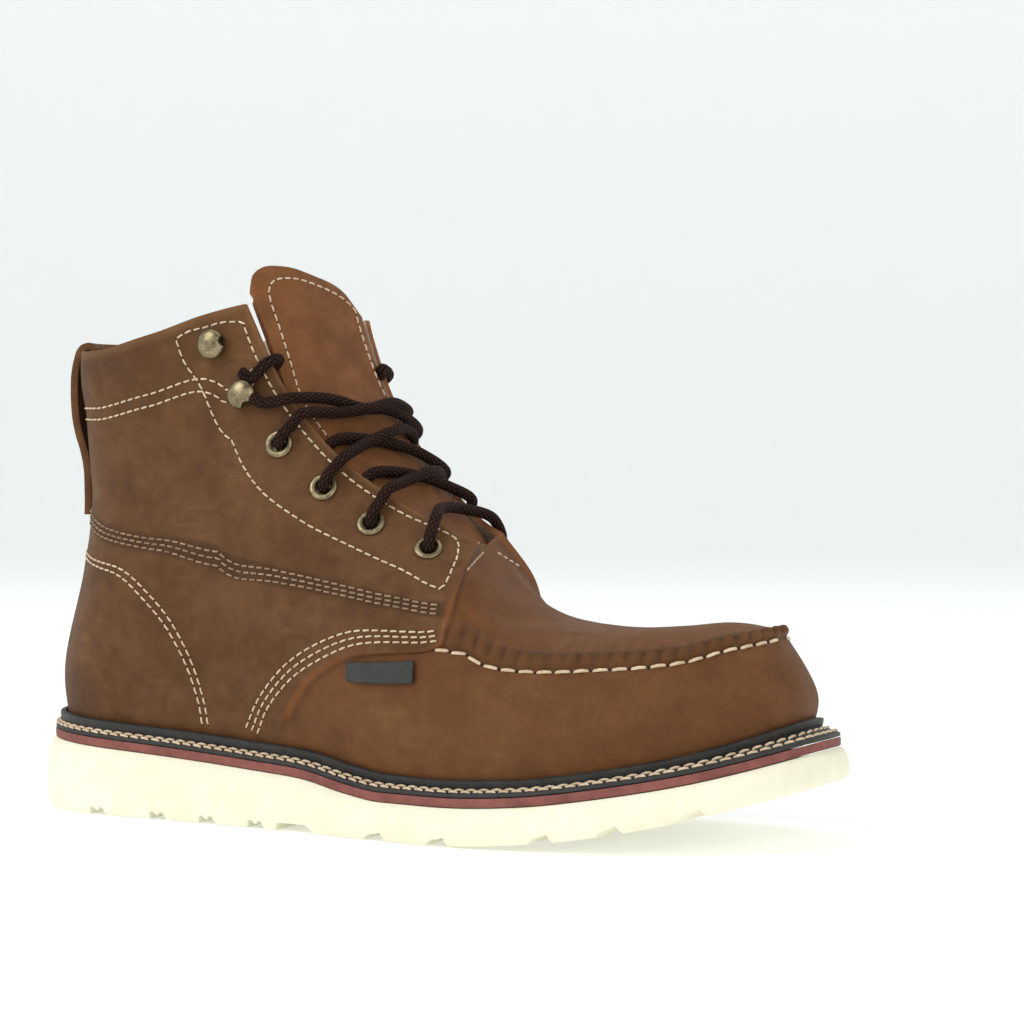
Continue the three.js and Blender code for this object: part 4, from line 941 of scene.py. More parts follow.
def thicken(piece: bpy.types.Object, thick: float, round_edge: float = 0, rim_slot: int = 0,
            inner_slot: int = 0) -> None:
    """Gives an open sheet a thickness below its face, with rounded edges.

    Args:
        piece: The sheet, its faces turned up.
        thick: Thickness in millimetres.
        round_edge: Rounding of the cut edges.
        rim_slot: Material slot of the cut edge.
        inner_slot: Material slot of the lower face.
    """
    wall = piece.modifiers.new("wall", "SOLIDIFY")
    wall.thickness = thick * MM
    wall.offset = -1
    wall.use_quality_normals = True
    wall.material_offset_rim = rim_slot
    wall.material_offset = inner_slot
    if round_edge:
        edge_round = piece.modifiers.new("edge", "BEVEL")
        edge_round.width = round_edge * MM
        edge_round.segments = 2
        edge_round.limit_method = "ANGLE"
        edge_round.angle_limit = math.radians(62)
    apply_all(piece)


def looks_along(points: np.ndarray, away: np.ndarray, faces: np.ndarray) -> bool:
    """Whether most faces of a grid look along the directions at its points.

    Args:
        points: Points of the grid.
        away: A direction for each point.
        faces: Quads of the grid.

    Returns:
        True if they do.
    """
    flat = points.reshape(-1, 3)
    first, second, last = flat[faces[:, 0]], flat[faces[:, 1]], flat[faces[:, 3]]
    facing = (np.cross(second - first, last - first) * away.reshape(-1, 3)[faces[:, 0]]).sum(-1)
    return bool(np.nansum(np.sign(facing)) > 0)


def faces_up(points: np.ndarray, away: np.ndarray, faces: np.ndarray) -> np.ndarray:
    """Faces of a grid, turned so that they look along the directions at its points."""
    return faces if looks_along(points, away, faces) else faces[:, ::-1]


def tube(path: np.ndarray, radius: float, sides: int = 12) -> tuple[np.ndarray, list, np.ndarray]:
    """Round cord along a path.

    Args:
        path: Points of its middle.
        radius: Its radius.
        sides: Corners of its section.

    Returns:
        Corners, faces and texture places; u is the length in millimetres and v the turn.
    """
    along = unit(np.gradient(path, axis=0))
    across = np.zeros_like(path)
    first = np.cross(along[0], [0, 0, 1.0])
    across[0] = unit(first if np.linalg.norm(first) > 1e-3 else np.array([1.0, 0, 0]))
    for i in range(1, len(path)):
        across[i] = unit(across[i - 1] - along[i] * (across[i - 1] @ along[i]))
    points = path[:, None] + circle(across, np.cross(along, across), sides) * radius
    turn = np.linspace(0, 2 * np.pi, sides, endpoint=False)
    uv = stack(run_along(path)[:, None], turn[None] / (2 * np.pi))
    faces = [list(f) for f in grid_faces(len(path), sides, wrap=True)]
    faces.append(list(range(sides)))
    faces.append([len(path) * sides - 1 - i for i in range(sides)])
    return points.reshape(-1, 3), faces, uv.reshape(-1, 2)


@dataclass(frozen=True)
class Thread:
    """Sewing thread: one dash after another along a seam."""

    dash: float = 2.75
    pitch: float = 3.55
    radius: float = 0.36
    sink: float = 0.1


# Rings of a dash: place along it and share of the thread's radius.
DASH_RINGS = ((-0.5, 0.35), (-0.4, 0.85), (0, 1), (0.4, 0.85), (0.5, 0.35))
# Rings of a needle hole's dark cap of painted shade: share of its radius and height.
HOLE_RINGS = ((0.75, 0.14), (1.0, 0.0))
HOLE_TOP = 0.2
HOLE_SINK = 0.12
HOLE_WIDTH = 1.15
RING_CORNERS = 6
FINE = Thread()
COARSE = Thread(dash=5.2, pitch=6.2, radius=0.62, sink=0.15)
WELT_THREAD = Thread(dash=3.9, pitch=4.6, radius=0.5, sink=0.12)


@dataclass
class StitchWork:
    """All dashes of thread and the dark caps of painted shade at the needle holes between them, joined as
    two meshes.
    """

    dashes: list[np.ndarray] = field(default_factory=list)
    holes: list[np.ndarray] = field(default_factory=list)

    def sew(self, path: np.ndarray, away: np.ndarray, thread: Thread, slant: float = 0) -> None:
        """Adds the dashes of one seam.

        Args:
            path: Fine points along the seam, on the leather.
            away: Directions away from the leather there.
            thread: Size of the thread.
            slant: Sideways turn of each dash.
        """
        run = run_along(path)
        count = max(int(run[-1] / thread.pitch), 1)

        def pick(where: np.ndarray, rows_of: np.ndarray) -> np.ndarray:
            return stack(*(np.interp(where, run, rows_of[:, k]) for k in range(3)))

        middle = (np.arange(count) + 0.5) * run[-1] / count
        up = unit(pick(middle, away))
        along = unit(pick(middle + thread.dash / 2, path) - pick(middle - thread.dash / 2, path))
        along = unit(along + np.cross(up, along) * slant)
        ring = circle(np.cross(up, along), up, RING_CORNERS)
        centre = pick(middle, path) + up * (thread.radius - thread.sink)
        dash = []
        for share, size in DASH_RINGS:
            drop = up * (-thread.radius * 1.1 * (2 * abs(share)) ** 4)
            spot = centre + along * share * thread.dash + drop
            dash.append(spot[:, None] + ring * thread.radius * size)
        self.dashes.append(np.concatenate(dash, axis=1).reshape(-1, 3))

        ends = np.arange(count + 1) * run[-1] / count
        up = unit(pick(ends, away))
        chord = pick(ends + 0.5, path) - pick(ends - 0.5, path)
        # The small number leaves a direction where the chord has none.
        along = unit(np.cross(up, unit(np.cross(up, chord) + 1e-6)))
        ring = circle(np.cross(up, along), along, RING_CORNERS)
        # Dark cap at each needle hole: painted shade of the hole.
        spot = pick(ends, path) - up * HOLE_SINK
        cap = [spot[:, None] + up[:, None] * HOLE_TOP]
        for size, lift in HOLE_RINGS:
            cap.append(spot[:, None] + ring * thread.radius * HOLE_WIDTH * size + up[:, None] * lift)
        self.holes.append(np.concatenate(cap, axis=1).reshape(-1, 3))

    @staticmethod
    def repeated(name: str, bodies: list[np.ndarray], faces: list[list[int]]) -> bpy.types.Object:
        """Joins bodies that share one set of faces.

        Args:
            name: Name of the piece.
            bodies: Their corners.
            faces: Faces of one body, which use all of its corners.

        Returns:
            The piece.
        """
        points = np.concatenate(bodies)
        corners = 1 + max(max(face) for face in faces)
        starts = range(0, len(points), corners)
        return make_piece(name, points, [[start + i for i in face] for start in starts for face in faces])

    def build(self, name: str, thread: bpy.types.Material, hole: bpy.types.Material,
              slot: str) -> list[bpy.types.Object]:
        """Makes the meshes.

        Args:
            name: Name of the pieces.
            thread: Finish of the thread.
            hole: Finish of the needle holes' dark caps, which are painted shade.
            slot: Not used.

        Returns:
            The threads and the holes.
        """
        first = list(range(RING_CORNERS))
        last = [(len(DASH_RINGS) - 1) * RING_CORNERS + i for i in first]
        dash = [list(cell) for cell in grid_faces(len(DASH_RINGS), RING_CORNERS, wrap=True)]
        threads = self.repeated(name, self.dashes, [*dash, first, last[::-1]])
        near = [1 + i for i in first]
        far = [1 + RING_CORNERS + i for i in first]
        after = [(i + 1) % RING_CORNERS for i in first]
        cap = [[0, near[i], near[after[i]]] for i in first]
        cap += [[near[i], far[i], far[after[i]], near[after[i]]] for i in first]
        holes = self.repeated(f"{name}_holes", self.holes, [*cap, far[::-1]])
        return [finish_piece(threads, [thread], degrees=80),
                finish_piece(holes, [hole], degrees=80)]


Colour = tuple[float, float, float]


class Graph:
    """Node tree that is filled in one call per node."""

    def __init__(self, tree: bpy.types.NodeTree) -> None:
        """Starts with an empty tree."""
        self.tree = tree
        tree.nodes.clear()

    def add(self, kind: str, inputs: dict | None = None, **settings: object) -> bpy.types.Node:
        """Adds a node.

        Args:
            kind: Its type, without the word ShaderNode.
            inputs: Values or sockets by input name or number.
            settings: Its own properties.

        Returns:
            The node.
        """
        node = self.tree.nodes.new(f"ShaderNode{kind}")
        for key, value in settings.items():
            setattr(node, key, value)
        for key, value in (inputs or {}).items():
            socket = node.inputs[key]
            if isinstance(value, bpy.types.NodeSocket):
                self.tree.links.new(value, socket)
            elif isinstance(value, tuple) and len(value) == 3 and socket.type == "RGBA":
                socket.default_value = (*value, 1)
            else:
                socket.default_value = value
        return node

    def math(self, operation: str, a: object, b: object = 0.5) -> bpy.types.NodeSocket:
        """Result of a sum on two values."""
        return self.add("Math", {0: a, 1: b}, operation=operation).outputs[0]

    def mix(self, share: object, a: object, b: object) -> bpy.types.NodeSocket:
        """Colour between two colours."""
        return self.add("Mix", {0: share, 6: a, 7: b}, data_type="RGBA").outputs[2]

    def ramp(self, value: object, low: float, high: float) -> bpy.types.NodeSocket:
        """Value stretched so that low becomes 0 and high 1."""
        return self.add("MapRange", {0: value, 1: low, 2: high}, interpolation_type="SMOOTHSTEP").outputs[0]

    def mask(self, name: str) -> bpy.types.NodeSocket:
        """Value that the mesh carries under a name."""
        return self.add("Attribute", attribute_name=name).outputs["Fac"]

    def group(self, tree: bpy.types.NodeTree, inputs: dict) -> bpy.types.NodeSocket:
        """First output of a shared group."""
        return self.add("Group", inputs, node_tree=tree).outputs[0]


def new_group(name: str, inputs: Sequence[str], output: str, kind: str) -> tuple[Graph, object, object]:
    """Shader group with plain number inputs and one output.

    Args:
        name: Its name.
        inputs: Names of the inputs.
        output: Name of the output.
        kind: Socket type of the output.

    Returns:
        Its graph, its input node and its output node.
    """
    tree = bpy.data.node_groups.new(name, "ShaderNodeTree")
    for key in inputs:
        tree.interface.new_socket(key, in_out="INPUT", socket_type="NodeSocketFloat")
    tree.interface.new_socket(output, in_out="OUTPUT", socket_type=kind)
    graph = Graph(tree)
    return graph, tree.nodes.new("NodeGroupInput"), tree.nodes.new("NodeGroupOutput")


@dataclass(frozen=True)
class Effects:
    """Groups that the finishes share."""

    mottle: bpy.types.NodeTree
    grain: bpy.types.NodeTree
    scuff: bpy.types.NodeTree

    @staticmethod
    def build() -> "Effects":
        """Makes the groups."""
        graph, given, out = new_group("mottle", ("Size",), "Value", "NodeSocketFloat")
        place = graph.add("TexCoord").outputs["Object"]
        scale = graph.math("DIVIDE", 1.0, given.outputs["Size"])
        wide = graph.add("TexNoise", {"Vector": place, "Scale": scale, "Detail": 5.0, "Roughness": 0.6})
        finer = graph.math("MULTIPLY", scale, 4.7)
        small = graph.add("TexNoise", {"Vector": place, "Scale": finer, "Detail": 3.0, "Distortion": 0.4})
        both = graph.add("Mix", {0: 0.35, 2: wide.outputs["Fac"], 3: small.outputs["Fac"]}).outputs[0]
        graph.tree.links.new(graph.ramp(both, 0.33, 0.67), out.inputs[0])
        mottle = graph.tree

        graph, given, out = new_group("grain", ("Size", "Depth", "Wrinkle"), "Normal", "NodeSocketVector")
        place = graph.add("TexCoord").outputs["Object"]
        scale = graph.math("DIVIDE", 1.0, given.outputs["Size"])
        nap = graph.add("TexNoise", {"Vector": place, "Scale": scale, "Detail": 6.0, "Roughness": 0.7})
        rough = graph.math("MULTIPLY", scale, 0.14)
        fold = graph.add("TexNoise", {"Vector": place, "Scale": rough, "Detail": 4.0, "Distortion": 0.6})
        first = graph.add("Bump", {"Strength": given.outputs["Wrinkle"], "Distance": 0.0009,
                                   "Height": fold.outputs["Fac"]})
        second = graph.add("Bump", {"Strength": 1.0, "Distance": given.outputs["Depth"],
                                    "Height": nap.outputs["Fac"], "Normal": first.outputs[0]})
        graph.tree.links.new(second.outputs[0], out.inputs[0])
        grain = graph.tree

        graph, given, out = new_group("scuff", ("Amount",), "Value", "NodeSocketFloat")
        place = graph.add("TexCoord").outputs["Object"]
        where = graph.add("TexNoise", {"Vector": place, "Scale": 26.0, "Detail": 4.0, "Roughness": 0.65})
        streak_place = graph.add("Mapping", {"Vector": place, "Scale": (60.0, 60.0, 420.0),
                                             "Rotation": (0.5, 0.3, 0.2)}).outputs[0]
        streak = graph.add("TexNoise", {"Vector": streak_place, "Scale": 1.0, "Detail": 3.0})
        area = graph.ramp(where.outputs["Fac"], 0.52, 0.7)
        lines = graph.ramp(streak.outputs["Fac"], 0.5, 0.75)
        worn = graph.math("MULTIPLY", area, graph.math("ADD", graph.math("MULTIPLY", lines, 0.7), 0.3))
        graph.tree.links.new(graph.math("MULTIPLY", worn, given.outputs["Amount"]), out.inputs[0])
        return Effects(mottle, grain, graph.tree)


@dataclass(frozen=True)
class LeatherLook:
    """Oiled nubuck."""

    dark: Colour = (0.083, 0.033, 0.0095)
    light: Colour = (0.138, 0.058, 0.017)
    warm: Colour = (0.175, 0.062, 0.0155)
    rubbed: Colour = (0.225, 0.11, 0.042)
    raw: Colour = (0.25, 0.085, 0.026)
    roughness: float = 0.72

    def build(self, name: str, effects: Effects) -> bpy.types.Material:
        """Makes the material.

        Args:
            name: Its name.
            effects: Shared groups.

        Returns:
            The material; it reads the masks plug, band, raw and edge of a mesh.
        """
        material, graph = new_material(name)
        tone = graph.group(effects.mottle, {"Size": 0.03})
        colour = graph.mix(tone, self.dark, self.light)
        colour = graph.mix(graph.math("MULTIPLY", graph.mask("plug"), 0.75), colour, self.warm)
        patch = graph.group(effects.mottle, {"Size": 0.009})
        colour = graph.mix(graph.math("MULTIPLY", patch, 0.3), colour, tuple(0.62 * c for c in self.dark))
        worn = graph.group(effects.scuff, {"Amount": 0.5})
        colour = graph.mix(worn, colour, self.rubbed)
        # The band mask darkens a strip along the quarter seam, and adds painted shade on the moc ridge, in
        # its folds, at its foot and under the quarter's front edge.
        colour = graph.mix(graph.math("MULTIPLY", graph.mask("band_and_shade"), 0.6), colour,
                           tuple(0.5 * c for c in self.dark))
        colour = graph.mix(graph.mask("raw"), colour, self.raw)
        colour = graph.mix(graph.math("MULTIPLY", graph.mask("edge"), 0.4), colour, self.rubbed)
        normal = graph.group(effects.grain, {"Size": 0.0009, "Depth": 0.00022, "Wrinkle": 0.35})
        rough = graph.math("SUBTRACT", self.roughness, graph.math("MULTIPLY", tone, 0.08))
        surface(graph, {"Base Color": colour, "Roughness": rough, "Normal": normal, "Sheen Weight": 0.03,
                        "Sheen Roughness": 0.5, "Specular IOR Level": 0.2})
        return material


@dataclass(frozen=True)
class PlainLook:
    """Finish with two tones, a grain and a gloss."""

    dark: Colour
    light: Colour
    size: float = 0.02
    roughness: float = 0.6
    grain: float = 0.001
    depth: float = 0.0001
    wrinkle: float = 0.1
    metallic: float = 0
    specular: float = 0.4

    def build(self, name: str, effects: Effects) -> bpy.types.Material:
        """Makes the material.

        Args:
            name: Its name.
            effects: Shared groups.

        Returns:
            The material.
        """
        material, graph = new_material(name)
        tone = graph.group(effects.mottle, {"Size": self.size})
        colour = graph.mix(tone, self.dark, self.light)
        normal = graph.group(effects.grain, {"Size": self.grain, "Depth": self.depth,
                                             "Wrinkle": self.wrinkle})
        rough = graph.math("ADD", self.roughness, graph.math("MULTIPLY", tone, 0.1))
        surface(graph, {"Base Color": colour, "Roughness": rough, "Normal": normal,
                        "Metallic": self.metallic, "Specular IOR Level": self.specular})
        return material


@dataclass(frozen=True)
class BraidLook:
    """Braided round cord; u runs along it in millimetres and v round it."""

    dark: Colour = (0.008, 0.003, 0.002)
    light: Colour = (0.05, 0.019, 0.011)
    pitch: float = 2.6
    strands: float = 8

    def build(self, name: str, effects: Effects) -> bpy.types.Material:
        """Makes the material."""
        material, graph = new_material(name)
        split = graph.add("SeparateXYZ", {0: graph.add("UVMap", uv_map="UVMap").outputs[0]})
        along = graph.math("MULTIPLY", split.outputs[0], math.pi / self.pitch)
        around = graph.math("MULTIPLY", split.outputs[1], math.pi * self.strands)
        one = graph.math("ABSOLUTE", graph.math("SINE", graph.math("ADD", along, around)))
        two = graph.math("ABSOLUTE", graph.math("SINE", graph.math("SUBTRACT", along, around)))
        weave = graph.math("MULTIPLY", one, two)
        bump = graph.add("Bump", {"Strength": 1.0, "Distance": 0.0007, "Height": weave})
        # Colour follows the weave's height: painted shade in the grooves between strands.
        colour = graph.mix(graph.ramp(weave, 0.1, 0.8), self.dark, self.light)
        surface(graph, {"Base Color": colour, "Roughness": 0.78, "Normal": bump.outputs[0],
                        "Specular IOR Level": 0.12})
        return material


def new_material(name: str) -> tuple[bpy.types.Material, Graph]:
    """Material and its empty graph."""
    material = bpy.data.materials.new(name)
    material.use_nodes = True
    return material, Graph(material.node_tree)


def surface(graph: Graph, inputs: dict) -> None:
    """Ends a material with its shader."""
    shader = graph.add("BsdfPrincipled", inputs)
    graph.add("OutputMaterial", {"Surface": shader.outputs[0]})


@dataclass(frozen=True)
class Finishes:
    """All materials of the boot."""

    leather: bpy.types.Material
    raw_edge: bpy.types.Material
    flesh: bpy.types.Material
    lining: bpy.types.Material
    tongue: bpy.types.Material
    thread: bpy.types.Material
    dark_thread: bpy.types.Material
    needle_hole_shade: bpy.types.Material
    sole: bpy.types.Material
    midsole: bpy.types.Material
    welt: bpy.types.Material
    insole: bpy.types.Material
    brass: bpy.types.Material
    lace: bpy.types.Material
    tab: bpy.types.Material

    @staticmethod
    def build(effects: Effects) -> "Finishes":
        """Makes them.

        Args:
            effects: Shared groups.

        Returns:
            All of them.
        """
        def plain(name: str, dark: Colour, light: Colour, size: float = 0.02, roughness: float = 0.6,
                  grain: float = 0.001, depth: float = 0.0001, **more: float) -> bpy.types.Material:
            look = PlainLook(dark, light, size, roughness, grain, depth, **more)
            return look.build(name, effects)

        tongue = LeatherLook(dark=(0.15, 0.053, 0.015), light=(0.23, 0.085, 0.025))
        return Finishes(
            leather=LeatherLook().build("nubuck", effects),
            raw_edge=plain("raw_edge", (0.15, 0.05, 0.015), (0.3, 0.1, 0.03), 0.003, 0.85,
                           0.0006, 0.0004),
            flesh=plain("flesh_side", (0.1, 0.042, 0.015), (0.17, 0.072, 0.026), 0.006, 0.88,
                        0.0008, 0.0004),
            lining=plain("lining", (0.52, 0.42, 0.29), (0.66, 0.56, 0.42), 0.01, 0.9, 0.0008, 0.0003),
            tongue=tongue.build("tongue", effects),
            thread=plain("thread", (0.56, 0.4, 0.25), (0.78, 0.62, 0.44), 0.004, 0.75, 0.0004, 0.0002),
            dark_thread=plain("shaded_thread", (0.2, 0.12, 0.07), (0.4, 0.27, 0.17), 0.004, 0.8),
            needle_hole_shade=plain("needle_hole_shade", (0.008, 0.004, 0.002), (0.014, 0.007, 0.003),
                              roughness=0.9),
            sole=plain("cream_rubber", (0.84, 0.79, 0.6), (0.9, 0.86, 0.69), 0.03, 0.55,
                       0.0012, 0.00012),
            midsole=plain("red_midsole", (0.17, 0.05, 0.04), (0.27, 0.09, 0.072), 0.012, 0.7,
                          0.0008, 0.0002),
            welt=plain("black_welt", (0.014, 0.013, 0.012), (0.03, 0.028, 0.025), 0.008, 0.5,
                       0.0008, 0.00015),
            insole=plain("insole_leather", (0.36, 0.24, 0.13), (0.46, 0.33, 0.2), 0.02, 0.8),
            brass=plain("antique_brass", (0.13, 0.1, 0.055), (0.36, 0.29, 0.17), 0.004, 0.3,
                        0.0012, 0.00005, wrinkle=0.05, metallic=1),
            lace=BraidLook().build("braid", effects),
            tab=plain("dark_rubber", (0.02, 0.019, 0.018), (0.035, 0.033, 0.03), 0.004, 0.5,
                      0.0006, 0.0002),
        )


class Spacing(Enum):
    """How steps lie along a zone."""

    EVEN = 0
    DENSE_START = 1
    DENSE_END = 2

    def steps(self, count: int) -> np.ndarray:
        """Shares of the zone, the first one left out."""
        t = np.arange(1, count + 1) / count
        if self is Spacing.DENSE_START:
            return 1 - np.cos(np.pi / 2 * t)
        return np.sin(np.pi / 2 * t) if self is Spacing.DENSE_END else t


EYELETS = {"eyelet_4": (0.578, 3.51), "eyelet_3": (0.51, 3.52), "eyelet_2": (0.442, 3.57),
           "eyelet_1": (0.37, 3.56)}
HOOKS = {"hook_2": (0.296, 3.56), "hook_1": (0.244, 3.8)}
SIDES = {OUTER: "outer", INNER: "inner"}


@dataclass(frozen=True)
class Seam:
    """Rows of stitches along a line of places (station, level) on the upper."""

    line: tuple[tuple[float, float], ...]
    rows: tuple[float, ...] = (0.0,)
    thread: Thread = FINE
    fineness: int = 40

    def paths(self, side: int) -> list[tuple[np.ndarray, np.ndarray]]:
        """Fine points and normals of each row.

        Args:
            side: OUTER or INNER.

        Returns:
            A pair of arrays per row.
        """
        knots = np.array(self.line) * PLACE_SCALE
        fine = np.linspace(0, len(knots) - 1, self.fineness * len(knots))
        line = spline(np.c_[knots, np.zeros(len(knots))], fine)[:, :2]
        along = unit(np.gradient(line, axis=0))
        across = stack(-along[:, 1], along[:, 0])
        found = []
        for row in self.rows:
            place = (line + across * row) / PLACE_SCALE
            at = np.clip(place[:, 0], 1e-4, 1 - 1e-4)
            level = np.clip(place[:, 1], 0.05, 3.99)
            found.append((skin(at, side, level), upper_normal(at, side, level)))
        return found


FACING_SEAM = Seam(((0.192, 3.91), (0.205, 3.75), (0.227, 3.59), (0.269, 3.25), (0.35, 3.09),
                    (0.418, 3.095), (0.491, 3.13), (0.554, 3.07), (0.59, 2.92), (0.603, 2.88), (0.609, 3.0),
                    (0.611, 3.3), (0.609, 3.6), (0.6, 3.86), (0.584, 3.9), (0.546, 3.87), (0.491, 3.86),
                    (0.442, 3.87), (0.395, 3.87), (0.35, 3.86), (0.299, 3.86), (0.272, 3.9), (0.25, 3.92),
                    (0.228, 3.92), (0.205, 3.925), (0.192, 3.91)))
COLLAR_SEAM = Seam(((0.004, 3.63), (0.03, 3.635), (0.068, 3.635), (0.161, 3.64), (0.226, 3.63),
                    (0.25, 3.58), (0.268, 3.52), (0.28, 3.53), (0.292, 3.64), (0.304, 3.77)),
                   (0.0, -2.4))
QUARTER_SEAM = Seam(((0.004, 2.86), (0.03, 2.8), (0.086, 2.64), (0.14, 2.45), (0.194, 2.28),
                     (0.284, 2.05), (0.391, 2.265), (0.482, 2.465), (0.558, 2.545), (0.604, 2.53)),
                    (2.4, 0.0, -2.4))
COUNTER_SEAM = Seam(((0.004, 2.2), (0.063, 2.13), (0.105, 2.05), (0.139, 1.95), (0.182, 1.68),
                     (0.222, 1.38), (0.251, 1.05), (0.265, 0.7), (0.269, 0.34)), (0.0, 2.4))
FRONT_SEAM = Seam(((0.602, 2.2), (0.558, 2.12), (0.52, 2.03), (0.487, 1.9), (0.44, 1.62),
                   (0.394, 1.28), (0.357, 0.86), (0.332, 0.4)), (0.0, 2.5, 5.0))
MOC_COLUMNS = (0.626, 0.66, 0.7, 0.75, 0.8, 0.85, 0.9, 0.94, 0.97, 0.99, 0.999)
MOC_SEAM = Seam(tuple((float(station_of(np.array(col), np.array(MOC_STITCH_LEVEL))), MOC_STITCH_LEVEL)
                      for col in MOC_COLUMNS), thread=COARSE)
THROAT_SEAM = Seam(((0.628, 3.3), (0.634, 3.55), (0.639, 3.8)))
SEAMS = (FACING_SEAM, COLLAR_SEAM, COUNTER_SEAM, FRONT_SEAM, MOC_SEAM, THROAT_SEAM)


def near_line(line: Sequence, station: np.ndarray, level: np.ndarray, width: float) -> np.ndarray:
    """How close places are to a line.

    Args:
        line: Its points (station, level).
        station: Stations of the places.
        level: Their levels.
        width: Distance in millimetres up to which they count as on it.

    Returns:
        Values from 1 on the line to 0 away from it.
    """
    knots = np.array(line) * PLACE_SCALE
    place = stack(station * PLACE_SCALE[0], level * PLACE_SCALE[1])
    least = np.full(station.shape, np.inf)
    for a, b in zip(knots[:-1], knots[1:]):
        least = np.minimum(least, near_segment(place, a, b)[1])
    fade = 1.6
    return 1 - smooth_step((least - width) / fade)


@dataclass(frozen=True)
class UpperSizes:
    """Fineness of the upper's mesh and the size of its holes."""

    collar: int = 62
    facing: int = 66
    gap: int = 3
    throat: int = 5
    vamp: int = 104
    rows: tuple[tuple[float, float, int], ...] = (
        (0, 0.4, 4), (0.4, 1.8, 22), (1.8, 2.5, 26), (2.5, 3.6, 18), (3.6, 3.9, 7), (3.9, 4, 4))
    hole: float = 3.5
    rim_round: float = 0.55
    slant: float = 0.05


@dataclass(frozen=True)
class Upper:
    """Leather of the boot with its lining, creases, gathered seam and stitches."""

    finishes: Finishes
    sizes: UpperSizes = UpperSizes()

    def grid(self) -> tuple[np.ndarray, np.ndarray]:
        """Columns and levels of the mesh."""
        s = self.sizes
        zones = ((0, COLLAR_CORNER, s.collar, Spacing.DENSE_START),
                 (COLLAR_CORNER, QUARTER_EDGE, s.facing, Spacing.EVEN),
                 (QUARTER_EDGE, QUARTER_EDGE + EDGE_GAP, s.gap, Spacing.EVEN),
                 (QUARTER_EDGE + EDGE_GAP, THROAT, s.throat, Spacing.EVEN),
                 (THROAT, 1, s.vamp, Spacing.DENSE_END))
        cols, levels = [np.zeros(1)], [np.zeros(1)]
        for start, end, count, spacing in zones:
            cols.append(start + (end - start) * spacing.steps(count))
        for start, end, count in s.rows:
            levels.append(start + (end - start) * Spacing.EVEN.steps(count))
        return np.concatenate(cols), np.concatenate(levels)

    @staticmethod
    def masks(col: np.ndarray, station: np.ndarray, level: np.ndarray) -> dict[str, np.ndarray]:
        """Where the leather's tones lie.

        Args:
            col: Columns of the mesh.
            station: Their stations.
            level: Their levels.

        Returns:
            Shares by name: plug (warm), band (dark), raw (cut edge) and edge (rubbed).
        """
        front = QUARTER_EDGE + EDGE_GAP
        ahead = smooth_step((col - QUARTER_EDGE) / EDGE_GAP)
        on_plug = ahead * smooth_step((level - 2.05) / 0.3)
        gap = np.clip(1 - np.abs((col - QUARTER_EDGE - EDGE_GAP / 2) / (0.75 * EDGE_GAP)), 0, 1)
        gap = gap * smooth_step((level - 0.6) / 0.2)
        back = 1 - smooth_step((turn_of(station) - 0.02) / 0.02)
        fold = smooth_step(2.2 * (1 - pleats(col) ** 0.5))
        under = bell(col, front + 0.8 * EDGE_GAP, 0.9 * EDGE_GAP)
        # Darker bands: a strip along the quarter seam, then painted shade over the moc ridge that is deepest
        # in its pleats' folds, a thin line of painted shade at the ridge's lower foot, and painted shade
        # just under the quarter's front edge.
        bands = (near_line(QUARTER_SEAM.line, station, level, 3.4),
                 ahead * bell(level, 2.2, 0.2) * (0.35 + 0.65 * fold),
                 0.9 * ahead * bell(level, 1.965, 0.035),
                 0.8 * under * smooth_step((level - 0.5) / 0.2))
        return {"plug": np.maximum(on_plug, 0.62 * ahead),
                "band_and_shade": np.max(bands, axis=0),
                "raw": np.maximum(gap * 0.85, 0.8 * back),
                "edge": smooth_step((level - 3.93) / 0.06) * (col < THROAT)}

    def sheet(self) -> bpy.types.Object:
        """Outer face of both sides as one welded sheet with the eyelet holes."""
        cols, levels = self.grid()
        col, level = np.meshgrid(cols, levels)
        station = station_of(col, level)
        points, faces = [], []
        for n, side in enumerate(SIDES):
            away = upper_normal(station, side, level)
            height = relief(col, side, level)
            place = upper_point(station, side, level) + away * height[..., None]
            cells = faces_up(place, away, grid_faces(*col.shape))
            centre = place.reshape(-1, 3)[cells].mean(axis=1)
            keep = np.ones(len(cells), bool)
            for at, height_level in EYELETS.values():
                middle = skin(np.array([at]), side, np.array([height_level]))[0]
                keep &= np.linalg.norm(centre - middle, axis=1) > self.sizes.hole
            points.append(place.reshape(-1, 3))
            faces.append(cells[keep] + n * col.size)
        masks = {key: np.tile(value.ravel(), len(SIDES))
                 for key, value in self.masks(col, station, level).items()}
        return make_piece("upper_leather", np.concatenate(points), np.concatenate(faces),
                          masks=masks, weld=True, outward=False)

    def build(self) -> None:
        """Makes the upper and its seams."""
        f = self.finishes
        upper = self.sheet()
        for material in (f.leather, f.lining, f.raw_edge):
            upper.data.materials.append(material)
        thicken(upper, WALL, self.sizes.rim_round, rim_slot=2, inner_slot=1)
        finish_piece(upper, [], ["upper"], 48)
        work = StitchWork()
        shaded = StitchWork()
        for side in SIDES:
            for seam in SEAMS:
                for path, away in seam.paths(side):
                    work.sew(path, away, seam.thread, self.sizes.slant)
            for path, away in QUARTER_SEAM.paths(side):
                shaded.sew(path, away, FINE, self.sizes.slant)
        work.build("stitches", f.thread, f.needle_hole_shade, "leather")
        shaded.build("stitches_quarter", f.dark_thread, f.needle_hole_shade, "leather")
        LOG.info("upper done")


@dataclass(frozen=True)
class TongueSizes:
    """Fineness and thickness of the tongue."""

    rows: int = 60
    tip: int = 14
    across: int = 44
    thick: float = 3.0
    edge_round: float = 0.7
    tail: tuple[float, ...] = (0.7, 0.675, 0.65)
    tail_levels: float = 0.6
    tip_bend: float = 1.6


TIP_UP = np.array([-0.3, 0, 0.95]) / np.hypot(0.3, 0.95)
